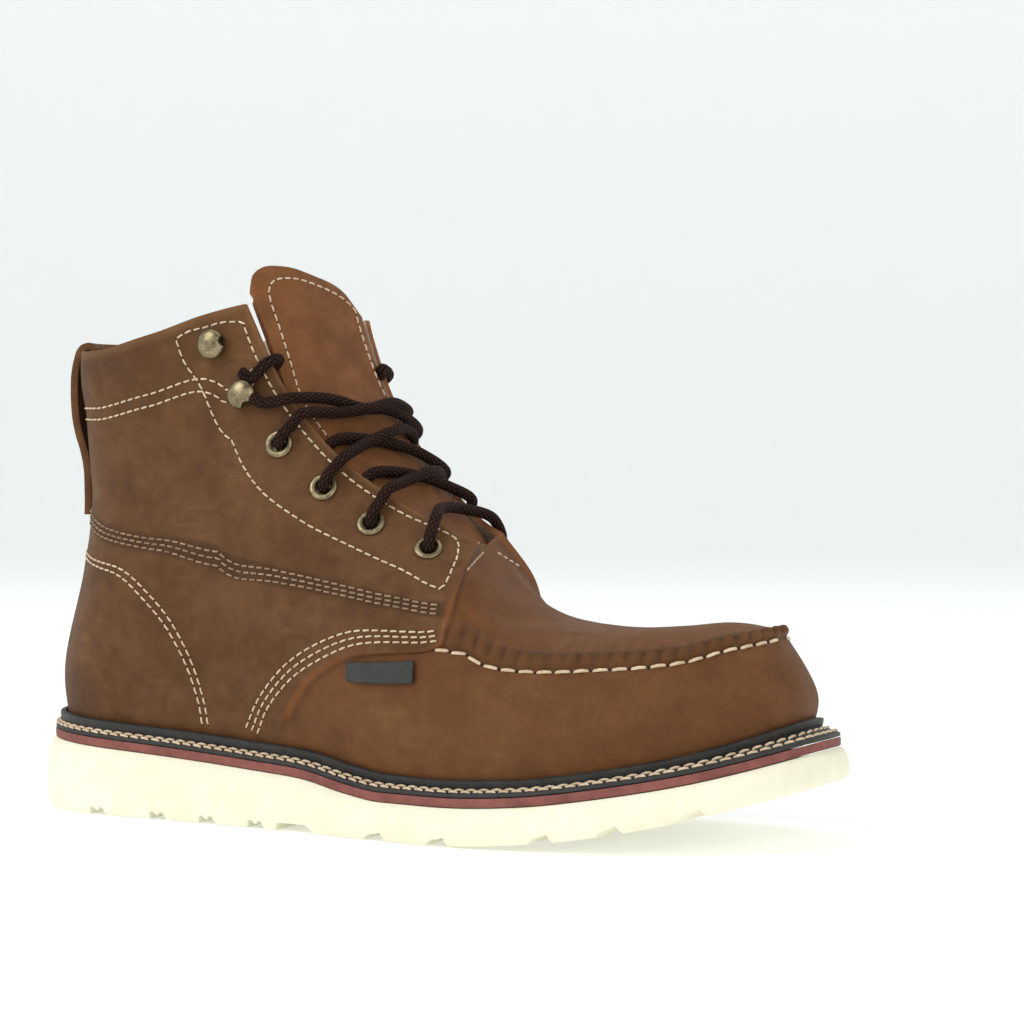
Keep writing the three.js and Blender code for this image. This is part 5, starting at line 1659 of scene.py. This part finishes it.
# Places (across, along) of the tongue's row of stitches.
TONGUE_SEAM = ((0.12, 0.5), (0.12, 0.8), (0.13, 1.0), (0.15, 1.35), (0.24, 1.62), (0.4, 1.7),
               (0.58, 1.68), (0.74, 1.55), (0.86, 1.25), (0.89, 1.0), (0.89, 0.8), (0.89, 0.6))


@dataclass(frozen=True)
class Tongue:
    """Tongue behind the laces, with its row of stitches."""

    finishes: Finishes
    sizes: TongueSizes = TongueSizes()

    def place(self, share: np.ndarray, v: np.ndarray) -> np.ndarray:
        """Points of its face.

        Args:
            share: Across it, from its outer edge (0) to its inner one (1).
            v: Along it; above 1 it is the free tip, which ends at 2.

        Returns:
            Points in millimetres.
        """
        share, v = np.broadcast_arrays(np.asarray(share, float), np.asarray(v, float))
        t = np.minimum(v, 1)
        across = -tongue_outer(t) + (tongue_outer(t) + tongue_inner(t)) * share
        rise = TONGUE_TOP * np.clip(v - 1, 0, 1) * (tongue_edge(share) + 0.12)
        lean = -self.sizes.tip_bend * np.clip(v - 1, 0, 1) ** 2
        ahead = np.array([1.0, 0, 0])
        return tongue_point(t, across) + TIP_UP * rise[..., None] + ahead * lean[..., None]

    def build(self) -> None:
        """Makes the tongue and its seam."""
        s = self.sizes
        share = np.linspace(0, 1, s.across)
        v = np.concatenate([np.linspace(0, 1, s.rows), 1 + np.arange(1, s.tip + 1) / s.tip])
        body = self.place(share[None, :], v[:, None])
        foot = np.array(0.0)
        across = -tongue_outer(foot) + (tongue_outer(foot) + tongue_inner(foot)) * share
        tail = []
        for at in s.tail:
            level = TOP_LEVEL - s.tail_levels * np.abs(across)
            left = under_upper(np.full_like(level, at), OUTER, level)
            right = under_upper(np.full_like(level, at), INNER, level)
            tail.append(np.where((across < 0)[:, None], left, right))
        grid = np.concatenate([np.array(tail), body])
        away = np.zeros_like(grid) + np.array([0.7, 0, 0.7])
        faces = faces_up(grid, away, grid_faces(*grid.shape[:2]))
        tongue = make_piece("tongue_leather", grid, faces, outward=False)
        for material in (self.finishes.tongue, self.finishes.lining, self.finishes.raw_edge):
            tongue.data.materials.append(material)
        thicken(tongue, s.thick, s.edge_round, rim_slot=2, inner_slot=1)
        finish_piece(tongue, [], ["tongue"], 50)
        self.seam()
        LOG.info("tongue done")

    def seam(self) -> None:
        """Sews the row that follows its edge."""
        knots = np.array([(*place, 0) for place in TONGUE_SEAM])
        line = spline(knots, np.linspace(0, len(knots) - 1, 400))
        step = 0.01
        path = self.place(line[:, 0], line[:, 1])
        inner = self.place(np.clip(line[:, 0] + step, 0, 1), line[:, 1]) - path
        above = self.place(line[:, 0], line[:, 1] + step) - path
        away = unit(np.cross(above, inner))
        away = np.where(away[:, :1] < 0, -away, away)
        work = StitchWork()
        work.sew(path, away, FINE)
        work.build("stitches_tongue", self.finishes.thread, self.finishes.needle_hole_shade, "tongue_leather")


@dataclass(frozen=True)
class SoleSizes:
    """Sizes of the sole, the midsole and the welt."""

    stations: int = 130
    tread_inset: float = 1.2
    chamfer: float = 1.8
    shoulder: float = 6.0
    heel_bevel: float = 2.0
    heel_bevel_end: float = 0.05
    groove_width: float = 7.6
    groove_depth: float = 2.6
    groove_tooth: float = 1.3
    notch_width: float = 9.0
    notch_depth: float = 2.9
    gap: tuple[float, float, float] = (0.392, 0.447, 2.7)
    heel_grooves: tuple[float, ...] = (0.134, 0.222, 0.293, 0.364)
    fore_grooves: tuple[float, ...] = (0.532, 0.615, 0.737, 0.812, 0.893)
    lip: float = 1.3
    rand: float = 2.1
    rand_gap: float = 0.7
    insole: float = 3.0
    insole_gap: float = 0.8


# Corners of the outsole's shoulder: share of the midsole's inset and of the shoulder's drop.
SHOULDER = ((0.1, 0.75), (0.3, 0.45), (0.62, 0.16), (1, 0))
# Corners of the midsole's edge: depth in millimetres and share of its thickness.
MIDSOLE_EDGE = ((0.0, 0.02), (-0.15, 0.25), (-0.15, 0.75), (0.0, 0.98))
# Rows of stitches on the welt: share of the way from its lip to its foot, and slant of the dashes.
WELT_ROWS = ((0.66, 0.12), (0.2, -0.1))


@dataclass(frozen=True)
class Sole:
    """Outsole, midsole, welt with its stitches, and insole."""

    finishes: Finishes
    sizes: SoleSizes = SoleSizes()

    def bottom(self, at: np.ndarray) -> np.ndarray:
        """Height of the tread."""
        toe = np.maximum(0, (at - TOE_SPRING_START) / (1 - TOE_SPRING_START))
        heel = np.maximum(0, 1 - at / self.sizes.heel_bevel_end)
        return TOE_SPRING * toe**2 + self.sizes.heel_bevel * heel**2

    def ring_of(self, point: Callable[[np.ndarray, int], np.ndarray]) -> np.ndarray:
        """Closed ring: down the outer side and back up the inner one."""
        n = self.sizes.stations
        at = (1 - np.cos(np.pi * np.arange(n + 1) / n)) / 2
        return np.concatenate([point(at[:-1], OUTER), point(at[:0:-1], INNER)])

    def ring(self, depth: Callable | float, height: Callable) -> np.ndarray:
        """Ring at a depth inside the footprint and a height that follows the sole."""
        def point(at: np.ndarray, side: int) -> np.ndarray:
            inside = depth(at) if callable(depth) else np.full_like(at, depth)
            flat = inset(at, side, inside)
            return stack(flat[:, 0], flat[:, 1], height(flat[:, 0] / LENGTH + 0.5))

        return self.ring_of(point)

    def against_upper(self, share: float, distance: float) -> np.ndarray:
        """Ring that stands off the upper.

        Args:
            share: Its height as a share of the rand's.
            distance: How far it stands off.

        Returns:
            Its points.
        """
        def point(at: np.ndarray, side: int) -> np.ndarray:
            height = seat(at) + (rand_top(at) - seat(at)) * share
            level = level_at(at, side, height, 1.0, 20)
            away = unit(upper_normal(at, side, level) * np.array([1, 1, 0]))
            return upper_point(at, side, level) + away * distance

        return self.ring_of(point)

    @staticmethod
    def loft(name: str, rings: list[np.ndarray], closed: bool) -> bpy.types.Object:
        """Skin over rings.

        Args:
            name: Name of the piece.
            rings: The rings.
            closed: Whether the last one joins the first; if not, both are capped.

        Returns:
            The piece.
        """
        count = len(rings[0])
        faces = [list(f) for f in grid_faces(len(rings), count, wrap=True, ring=closed)]
        ends = () if closed else (0, (len(rings) - 1) * count)
        for start in ends:
            for i in range(count // 2):
                strip = [i, i + 1, count - i - 1, (count - i) % count]
                faces.append([start + k for k in dict.fromkeys(strip)])
        return make_piece(name, np.stack(rings), faces)

    def tread_cutter(self) -> bpy.types.Object:
        """All grooves of the tread as prisms."""
        s = self.sizes
        floor = -s.heel_bevel - 1
        half, notch = s.groove_width / 2, s.notch_width / 2
        heel = [(-half, floor), (half, floor), (half, 0), (half * 0.72, s.groove_depth),
                (half * 0.34, s.groove_depth), (0, s.groove_depth - s.groove_tooth),
                (-half * 0.34, s.groove_depth), (-half * 0.72, s.groove_depth), (-half, 0)]
        fore = [(-notch, floor), (notch, floor), (notch, 0), (notch * 0.7, s.notch_depth),
                (notch * 0.2, s.notch_depth * 0.75), (-notch * 0.35, s.notch_depth * 0.7), (-notch, 0)]
        start, end, deep = s.gap
        wide = (end - start) * LENGTH / 2
        gap = [(-wide, floor), (wide, floor), (wide, 0), (wide - deep, deep), (-wide + deep * 0.5, deep),
               (-wide, 0)]
        places = [(heel, at, 0.0, 0.0) for at in s.heel_grooves] + [(gap, (start + end) / 2, 0.0, 0.0)]
        for at in s.fore_grooves:
            here = float(self.bottom(np.array(at)))
            rise = float(self.bottom(np.array(at + 0.01)) - self.bottom(np.array(at - 0.01)))
            places.append((fore, at, here, math.atan2(rise, 0.02 * LENGTH)))
        points, faces = [], []
        for section, at, lift, tilt in places:
            flat = np.array(section)
            x = flat[:, 0] * math.cos(tilt) - flat[:, 1] * math.sin(tilt) + (at - 0.5) * LENGTH
            z = flat[:, 0] * math.sin(tilt) + flat[:, 1] * math.cos(tilt) + lift
            n, base = len(flat), sum(len(p) for p in points)
            for y in (-1.5 * HALF_WIDTH, 1.5 * HALF_WIDTH):
                points.append(stack(x, np.full(n, y), z))
            faces += [[base + i, base + (i + 1) % n, base + n + (i + 1) % n, base + n + i] for i in range(n)]
            faces += [[base + i for i in range(n)], [base + n + i for i in reversed(range(n))]]
        return make_piece("tread_cutter", np.concatenate(points), faces)

    def build_outsole(self) -> None:
        """Wedge sole with its shoulder, chamfer and tread."""
        s = self.sizes
        rings = [self.ring(s.tread_inset, self.bottom),
                 self.ring(0.25, lambda at: self.bottom(at) + s.chamfer * 0.75),
                 self.ring(0, lambda at: self.bottom(at) + s.chamfer * 1.3)]
        for depth, drop in ((0, 1), *SHOULDER):
            rings.append(self.ring(MIDSOLE_INSET * depth, lambda at, d=drop: sole_top(at) - s.shoulder * d))
        outsole = self.loft("outsole_rubber", rings, False)
        cutter = self.tread_cutter()
        cut = outsole.modifiers.new("tread", "BOOLEAN")
        cut.object = cutter
        cut.operation = "DIFFERENCE"
        cut.solver = "EXACT"
        apply_all(outsole)
        bpy.data.objects.remove(cutter)
        finish_piece(outsole, [self.finishes.sole], ["outsole"], 35)

    def build(self) -> None:
        """Makes the four pieces and the two rows of welt stitches."""
        s, f = self.sizes, self.finishes
        self.build_outsole()
        rings = []
        for deep, high in MIDSOLE_EDGE:
            rise = CLEARANCE + MIDSOLE_THICK * high
            rings.append(self.ring(MIDSOLE_INSET + deep, lambda at, r=rise: sole_top(at) + r))
        finish_piece(self.loft("midsole_sheet", rings, False), [f.midsole], ["midsole"])

        def inside(at: np.ndarray) -> np.ndarray:
            return MIDSOLE_INSET * foot_share(at) + WALL + s.insole_gap

        rings = [self.ring(inside, seat), self.ring(inside, lambda at: seat(at) + s.insole)]
        finish_piece(self.loft("insole_board", rings, False), [f.insole], ["insole"])
        self.build_welt()
        LOG.info("sole done")

    def build_welt(self) -> None:
        """Welt with its lip and rand, and its stitches."""
        s, f = self.sizes, self.finishes
        wide = s.rand_gap + s.rand
        lip = self.ring(MIDSOLE_INSET + 0.35, lambda at: seat(at) + s.lip)
        foot = self.against_upper(0.42, wide)
        profile = ((0.75, wide + 0.1), (0.94, wide - 0.15), (1, wide - 0.7), (1, s.rand_gap + 0.3),
                   (0.94, s.rand_gap), (0.5, s.rand_gap), (0, s.rand_gap))
        rings = [self.ring(MIDSOLE_INSET, seat),
                 self.ring(MIDSOLE_INSET, lambda at: seat(at) + s.lip * 0.7), lip, foot]
        rings += [self.against_upper(share, distance) for share, distance in profile]
        finish_piece(self.loft("welt_strip", rings, True), [f.welt], ["welt"], 45)
        work = StitchWork()
        slope = unit(np.concatenate([foot - lip, (foot - lip)[:1]]))
        for share, slant in WELT_ROWS:
            path = lip + (foot - lip) * share
            path = np.concatenate([path, path[:1]])
            away = unit(np.cross(unit(np.gradient(path, axis=0)), slope))
            work.sew(path, np.where(away[:, 2:] < 0, -away, away), WELT_THREAD, slant)
        work.build("stitches_welt", f.thread, f.needle_hole_shade, "welt")


# Rows of the lace: side (0 over the tongue), station, level or place across, and lift.
BAR = ((OUTER, 0.578, 3.51, 1.7), (OUTER, 0.575, 3.97, 0.9), (0, 0.557, -0.35, 1.2), (0, 0.557, 0.35, 1.2),
       (INNER, 0.572, 3.97, 0.9), (INNER, 0.578, 3.51, 1.7))
CROSSINGS = {
    "lace_cross_2": (
        ((OUTER, 0.51, 3.52, 1.7), (OUTER, 0.516, 3.8, 0.7), (OUTER, 0.52, 3.98, 0.9),
         (0, 0.515, -0.55, 1.8), (0, 0.501, 0.1, 3.2), (0, 0.49, 0.55, 1.6),
         (0, 0.482, 0.82, 0.1), (0, 0.478, 1.04, -1.3)),
        ((INNER, 0.51, 3.52, 1.7), (INNER, 0.52, 3.8, 0.7), (INNER, 0.526, 3.98, 0.9),
         (0, 0.512, 0.6, 0.6), (0, 0.499, 0.15, 0.2), (0, 0.492, -0.45, 0.1),
         (0, 0.49, -0.8, 0.1), (0, 0.488, -1.04, -1.3))),
    "lace_cross_1": (
        ((OUTER, 0.442, 3.57, 1.7), (OUTER, 0.453, 3.82, 0.7), (OUTER, 0.461, 3.98, 0.9),
         (0, 0.452, -0.55, 1.8), (0, 0.434, 0.05, 3.2), (0, 0.421, 0.5, 1.6),
         (0, 0.418, 0.8, 0.1), (0, 0.415, 1.04, -1.3)),
        ((INNER, 0.442, 3.57, 1.7), (INNER, 0.457, 3.82, 0.7), (INNER, 0.468, 3.98, 0.9),
         (0, 0.455, 0.6, 0.6), (0, 0.443, 0.1, 0.2), (0, 0.438, -0.45, 0.1),
         (0, 0.436, -0.8, 0.1), (0, 0.434, -1.04, -1.3))),
    "lace_cross_top": (
        ((OUTER, 0.37, 3.56, 1.7), (OUTER, 0.386, 3.8, 0.6), (OUTER, 0.396, 3.96, 1.9),
         (0, 0.406, -0.5, 1.6), (0, 0.4, 0.0, 3.2), (0, 0.39, 0.5, 3.4), (INNER, 0.377, 3.97, 1.7),
         (INNER, 0.348, 3.78, 0.4), (INNER, 0.325, 3.66, 0.4), (INNER, 0.304, 3.61, 0.2)),
        ((INNER, 0.37, 3.56, 1.7), (INNER, 0.39, 3.8, 0.7), (INNER, 0.4, 3.96, 1.9),
         (0, 0.397, 0.45, 1.8), (0, 0.394, 0.0, 0.2), (0, 0.388, -0.5, 1.2), (OUTER, 0.378, 3.98, 1.7),
         (OUTER, 0.354, 3.8, 0.4), (OUTER, 0.33, 3.67, 0.4), (OUTER, 0.304, 3.61, 0.2))),
}


@dataclass(frozen=True)
class LaceSizes:
    """Cord and metal fittings."""

    radius: float = 2.0
    gap: float = 0.4
    sides: int = 14
    flange: float = 3.72
    flange_round: float = 1.1
    barrel: float = 2.95
    barrel_long: float = 3.4
    cap: float = 5.3
    cap_tall: float = 2.9
    notch: float = 2.6
    notch_at: float = 6.4
    stem: float = 2.3
    hook_foot: float = 4.1
    hook_height: float = 6.0


@dataclass(frozen=True)
class Lacing:
    """Eyelets, hooks and the lace."""

    finishes: Finishes
    sizes: LaceSizes = LaceSizes()

    def lace_point(self, row: tuple[int, float, float, float]) -> np.ndarray:
        """Middle of the cord for one row of a table.

        Args:
            row: Side (0 over the tongue), station, level or place across, and lift.

        Returns:
            A point in millimetres.
        """
        side, at, second, lift = row
        height = self.sizes.radius + self.sizes.gap + lift
        if side:
            return skin(np.array([at]), side, np.array([second]), height)[0]
        t = np.array([(TONGUE_FOOT - at) / (TONGUE_FOOT - COLLAR_CORNER)])
        across = np.array([second])
        return (tongue_point(t, across) + tongue_normal(t, across) * height)[0]

    def rise(self, row: tuple[int, float, float, float], after: np.ndarray) -> list[np.ndarray]:
        """Points by which the cord comes up through an eyelet.

        Args:
            row: The eyelet's row of a table.
            after: Point to which the cord turns.

        Returns:
            The points, the lowest first.
        """
        side, at, level, _ = row
        place, height = np.array([at]), np.array([level])
        middle = skin(place, side, height)[0]
        away = upper_normal(place, side, height)[0]
        ahead = after - middle
        ahead = unit(ahead - away * (ahead @ away))
        return [middle - away * 4.5, middle - away * 1.2, middle + away * 1.4 + ahead * 0.5,
                middle + away * 3.3 + ahead * 2.6]

    def strand(self, name: str, rows: Sequence, from_eyelet: bool,
               to_eyelet: bool = False) -> bpy.types.Object:
        """Cord along a table.

        Args:
            name: Name of the piece.
            rows: Its table.
            from_eyelet: Whether it starts in an eyelet.
            to_eyelet: Whether it ends in one.

        Returns:
            The piece.
        """
        points = [self.lace_point(row) for row in rows]
        if from_eyelet:
            points = self.rise(rows[0], points[1]) + points[1:]
        if to_eyelet:
            points = points[:-1] + self.rise(rows[-1], points[-2])[::-1]
        knots = np.array(points)
        path = spline(knots, np.linspace(0, len(knots) - 1, 14 * len(knots)))
        corners, faces, uv = tube(path, self.sizes.radius, self.sizes.sides)
        return finish_piece(make_piece(name, corners, faces, uv), [self.finishes.lace], degrees=70)

    def eyelet(self) -> bpy.types.Object:
        """One eyelet standing at the origin."""
        s = self.sizes
        bpy.ops.object.select_all(action="DESELECT")
        bpy.ops.mesh.primitive_torus_add(major_radius=s.flange * MM, minor_radius=s.flange_round * MM,
                                         major_segments=48, minor_segments=14)
        ring = bpy.context.object
        bpy.ops.object.mode_set(mode="EDIT")
        bpy.ops.mesh.select_all(action="SELECT")
        bpy.ops.transform.resize(value=(1, 1, 0.62))
        bpy.ops.transform.translate(value=(0, 0, 0.55 * MM))
        bpy.ops.object.mode_set(mode="OBJECT")
        bpy.ops.object.select_all(action="DESELECT")
        bpy.ops.mesh.primitive_cylinder_add(vertices=40, radius=s.barrel * MM, depth=s.barrel_long * MM,
                                            end_fill_type="NOTHING", location=(0, 0, -1.1 * MM))
        barrel = bpy.context.object
        wall = barrel.modifiers.new("wall", "SOLIDIFY")
        wall.thickness = 0.35 * MM
        apply_all(barrel)
        bpy.ops.object.transform_apply(location=True)
        ring.select_set(True)
        bpy.context.view_layer.objects.active = ring
        bpy.ops.object.join()
        return ring

    def hook(self) -> bpy.types.Object:
        """One lace hook standing at the origin, its notch towards the toe."""
        s = self.sizes
        bpy.ops.object.select_all(action="DESELECT")
        bpy.ops.mesh.primitive_uv_sphere_add(segments=40, ring_count=20, radius=s.cap * MM)
        cap = bpy.context.object
        bpy.ops.object.mode_set(mode="EDIT")
        bpy.ops.mesh.select_all(action="SELECT")
        bpy.ops.mesh.bisect(plane_co=(0, 0, 0), plane_no=(0, 0, 1), use_fill=True, clear_inner=True)
        bpy.ops.mesh.select_all(action="SELECT")
        bpy.ops.transform.resize(value=(1, 1, 0.55), center_override=(0, 0, 0))
        bpy.ops.transform.translate(value=(0, 0, (s.hook_height - s.cap_tall) * MM))
        bpy.ops.object.mode_set(mode="OBJECT")
        bpy.ops.object.select_all(action="DESELECT")
        bpy.ops.mesh.primitive_cylinder_add(vertices=32, radius=s.notch * MM, depth=12 * MM,
                                            location=(s.notch_at * MM, 0, 4 * MM))
        notch = bpy.context.object
        cut = cap.modifiers.new("notch", "BOOLEAN")
        cut.object = notch
        cut.operation = "DIFFERENCE"
        edge_round = cap.modifiers.new("edge", "BEVEL")
        edge_round.width = 0.35 * MM
        edge_round.segments = 2
        edge_round.limit_method = "ANGLE"
        apply_all(cap)
        bpy.data.objects.remove(notch)
        parts = [cap]
        for radius, low, high in ((s.stem, 0.6, s.hook_height - 2.6), (s.hook_foot, 0.1, 1.0)):
            bpy.ops.object.select_all(action="DESELECT")
            bpy.ops.mesh.primitive_cylinder_add(vertices=32, radius=radius * MM, depth=(high - low) * MM,
                                                location=(0, 0, (low + high) / 2 * MM))
            bpy.ops.object.transform_apply(location=True)
            parts.append(bpy.context.object)
        for part in parts:
            part.select_set(True)
        bpy.context.view_layer.objects.active = cap
        bpy.ops.object.join()
        return cap

    def place(self, master: bpy.types.Object, fittings: dict) -> None:
        """Puts copies of a fitting at its places on both sides and removes the first one."""
        for side, which in SIDES.items():
            for name, (at, level) in fittings.items():
                mesh = master.data.copy()
                mesh.transform(skin_frame(at, side, level))
                piece = add_object(f"{name}_{which}_metal", mesh)
                finish_piece(piece, [self.finishes.brass], [f"{name}_{which}"], 50)
        bpy.data.objects.remove(master)

    def build(self) -> None:
        """Makes all fittings and strands."""
        self.place(self.eyelet(), EYELETS)
        self.place(self.hook(), HOOKS)
        bar = self.strand("lace_bar_cord", BAR, True, True)
        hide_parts("lace_bar")
        for name, (over, under) in CROSSINGS.items():
            first = self.strand(f"{name}_over", over, True)
            self.strand(f"{name}_under", under, True)
            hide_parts(name)
        for side, which in SIDES.items():
            rows = ((side, 0.29, 3.66, 0.2), (side, 0.308, 3.72, 0.3), (side, 0.32, 3.83, 0.4),
                    (side, 0.333, 3.97, 0.4), (0, 0.336, 0.9 * side, -0.4), (0, 0.338, 1.02 * side, -2.6))
            tail = self.strand(f"lace_tail_{which}_cord", rows, False)
            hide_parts(f"lace_tail_{which}")
        LOG.info("lacing done")


@dataclass(frozen=True)
class LoopSizes:
    """Pull loop at the heel and the bare tab at the side."""

    width: float = 20.0
    thick: float = 2.6
    rows: int = 90
    across: int = 15
    tab_thick: float = 1.7
    tab: tuple[tuple[float, float, float], ...] = ((0.492, 1.38, 1.585), (0.578, 1.48, 1.765))


@dataclass(frozen=True)
class Trim:
    """Pull loop and side tab."""

    finishes: Finishes
    sizes: LoopSizes = LoopSizes()

    @staticmethod
    def back_place(aside: np.ndarray, height: np.ndarray) -> tuple[np.ndarray, np.ndarray]:
        """Places on the leather beside the back seam.

        Args:
            aside: Distances from the seam, below 0 on the outer side.
            height: Heights.

        Returns:
            The points, and the level directions away from the leather.
        """
        points, away = np.zeros((*aside.shape, 3)), np.zeros((*aside.shape, 3))
        for side in SIDES:
            near, far = np.zeros_like(aside), np.full_like(aside, 0.12)
            start = upper_point(near, side, level_at(near, side, height, TOP_LEVEL, 22))[..., 1]
            for _ in range(20):
                at = (near + far) / 2
                place = upper_point(at, side, level_at(at, side, height, TOP_LEVEL, 22))
                reach = np.abs(place[..., 1] - start)
                near = np.where(reach < np.abs(aside), at, near)
                far = np.where(reach < np.abs(aside), far, at)
            level = level_at(near, side, height, TOP_LEVEL, 22)
            here = (aside < 0) == (side == OUTER)
            found = unit(upper_normal(np.maximum(near, 1e-5), side, level) * np.array([1, 1, 0]))
            points = np.where(here[..., None], upper_point(near, side, level), points)
            away = np.where(here[..., None], found, away)
        return points, away

    def build_loop(self) -> None:
        """Strap that is sewn to the back seam and turns over the collar."""
        s = self.sizes
        knots = stack(LOOP_PATH["off"], LOOP_PATH["up"], 0 * LOOP_PATH["up"])
        line = spline(knots, np.linspace(0, len(knots) - 1, s.rows))
        off, up = line[:, 0][:, None], line[:, 1][:, None]
        aside = s.width * (np.linspace(0, 1, s.across) - 0.5)[None, :] + 0 * off
        aside = np.where(np.abs(aside) < 1e-6, 1e-6, aside)
        collar = top_point(np.zeros(1), OUTER)[0, 2]
        points, away = self.back_place(aside, collar + np.minimum(up, -0.5) + 0 * aside)
        grid = points + away * (off * s.thick)[..., None]
        grid[..., 2] = collar + up + 0 * aside
        # The strap turns over the collar, so its sewn rows alone tell where its faces look.
        sewn = 20
        faces = grid_faces(s.rows, s.across)
        if not looks_along(grid[:sewn], away[:sewn], grid_faces(sewn, s.across)):
            faces = faces[:, ::-1]
        loop = make_piece("pull_loop_strap", grid, faces, outward=False)
        for material in (self.finishes.leather, self.finishes.flesh):
            loop.data.materials.append(material)
        thicken(loop, s.thick, 0.6, rim_slot=1, inner_slot=1)
        finish_piece(loop, [], ["pull_loop"], 50)

    def build_tab(self) -> None:
        """Flat bare tab under the quarter's front edge, on the outer side."""
        s = self.sizes
        (start, low_a, high_a), (end, low_b, high_b) = s.tab
        at = np.linspace(start, end, 28)[None, :]
        share = (at - start) / (end - start)
        low, high = low_a + (low_b - low_a) * share, high_a + (high_b - high_a) * share
        level = low + (high - low) * np.linspace(0, 1, 9)[:, None]
        at = at + 0 * level
        away = upper_normal(at, OUTER, level)
        grid = upper_point(at, OUTER, level) + away * (CLEARANCE + s.tab_thick)
        faces = faces_up(grid, away, grid_faces(*level.shape))
        tab = make_piece("side_tab_plate", grid, faces, outward=False)
        thicken(tab, s.tab_thick, 0.5)
        finish_piece(tab, [self.finishes.tab], ["side_tab"], 50)

    def build(self) -> None:
        """Makes both."""
        self.build_loop()
        self.build_tab()
        LOG.info("trim done")


@dataclass(frozen=True)
class Lamp:
    """Soft square light that looks at the boot; its place and size are in metres."""

    name: str
    place: tuple[float, float, float]
    size: float
    power: float
    aim: tuple[float, float, float] = (0, 0, 0.08)

    def build(self) -> None:
        """Adds it to the scene."""
        data = bpy.data.lights.new(self.name, "AREA")
        data.size = self.size
        data.energy = self.power
        lamp = add_object(self.name, data)
        lamp.location = self.place
        lamp.rotation_euler = (Vector(self.aim) - Vector(self.place)).to_track_quat("-Z", "Y").to_euler()


LAMPS = (Lamp("key", (-0.9, -1.5, 1.7), 1.5, 26), Lamp("fill", (1.8, -0.9, 1.0), 1.6, 8),
         Lamp("top", (0.0, 0.5, 2.2), 2.2, 16))


@dataclass(frozen=True)
class Studio:
    """Floor, lights and camera."""

    camera: tuple[float, float, float] = (446.5, -807.8, 120.9)
    target: tuple[float, float, float] = (36.7, 0.0, 108.38)
    lens: float = 93.4
    floor_radius: float = 4.0
    wall_round: float = 1.6
    wall: float = 4.0

    def build(self) -> None:
        """Sets the scene around the boot."""
        self.build_floor()
        for lamp in LAMPS:
            lamp.build()
        world = bpy.data.worlds.new("studio")
        world.use_nodes = True
        sky = world.node_tree.nodes["Background"]
        sky.inputs["Color"].default_value = (0.95, 0.98, 1.0, 1)
        sky.inputs["Strength"].default_value = 0.3
        bpy.context.scene.world = world
        self.build_camera()
        bpy.context.scene.view_settings.view_transform = "Standard"

    def build_floor(self) -> None:
        """Pale floor that bends up into a round wall."""
        turn = np.linspace(0, np.pi / 2, 14)
        radius = np.concatenate([[0.05, 1, 2], self.floor_radius + self.wall_round * np.sin(turn),
                                 [self.floor_radius + self.wall_round] * 2])
        height = np.concatenate([[0, 0, 0], self.wall_round * (1 - np.cos(turn)),
                                 [self.wall / 2 + 1, self.wall]])
        sides = 96
        around = np.linspace(0, 2 * np.pi, sides, endpoint=False)
        points = stack(radius[:, None] * np.cos(around), radius[:, None] * np.sin(around), height[:, None])
        faces = [list(f) for f in grid_faces(len(radius), sides, wrap=True)] + [list(range(sides))]
        floor = make_piece("floor", points / MM, faces, outward=False)
        floor.location.z = -0.0003
        smooth(floor, 60)
        material, graph = new_material("floor")
        surface(graph, {"Base Color": (0.86, 0.87, 0.865), "Roughness": 0.8, "Specular IOR Level": 0.1,
                        "Emission Color": (0.93, 0.97, 0.96), "Emission Strength": 0.33})
        floor.data.materials.append(material)
        floor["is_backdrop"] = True

    def build_camera(self) -> None:
        """Camera that looks at the boot as the photo does."""
        data = bpy.data.cameras.new("camera")
        data.lens = self.lens
        data.sensor_width = 36
        camera = add_object("camera", data)
        place, aim = Vector(self.camera) * MM, Vector(self.target) * MM
        camera.location = place
        camera.rotation_euler = (aim - place).to_track_quat("-Z", "Y").to_euler()
        bpy.context.scene.camera = camera


def main() -> None:
    logging.basicConfig(level=logging.INFO)
    finishes = Finishes.build(Effects.build())
    Sole(finishes).build()
    Upper(finishes).build()
    Tongue(finishes).build()
    Trim(finishes).build()
    Lacing(finishes).build()
    Studio().build()
    box = [[list(corner) for corner in pair] for pair in (CAD_BOX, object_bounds())]


if __name__ == "__main__":
    main()
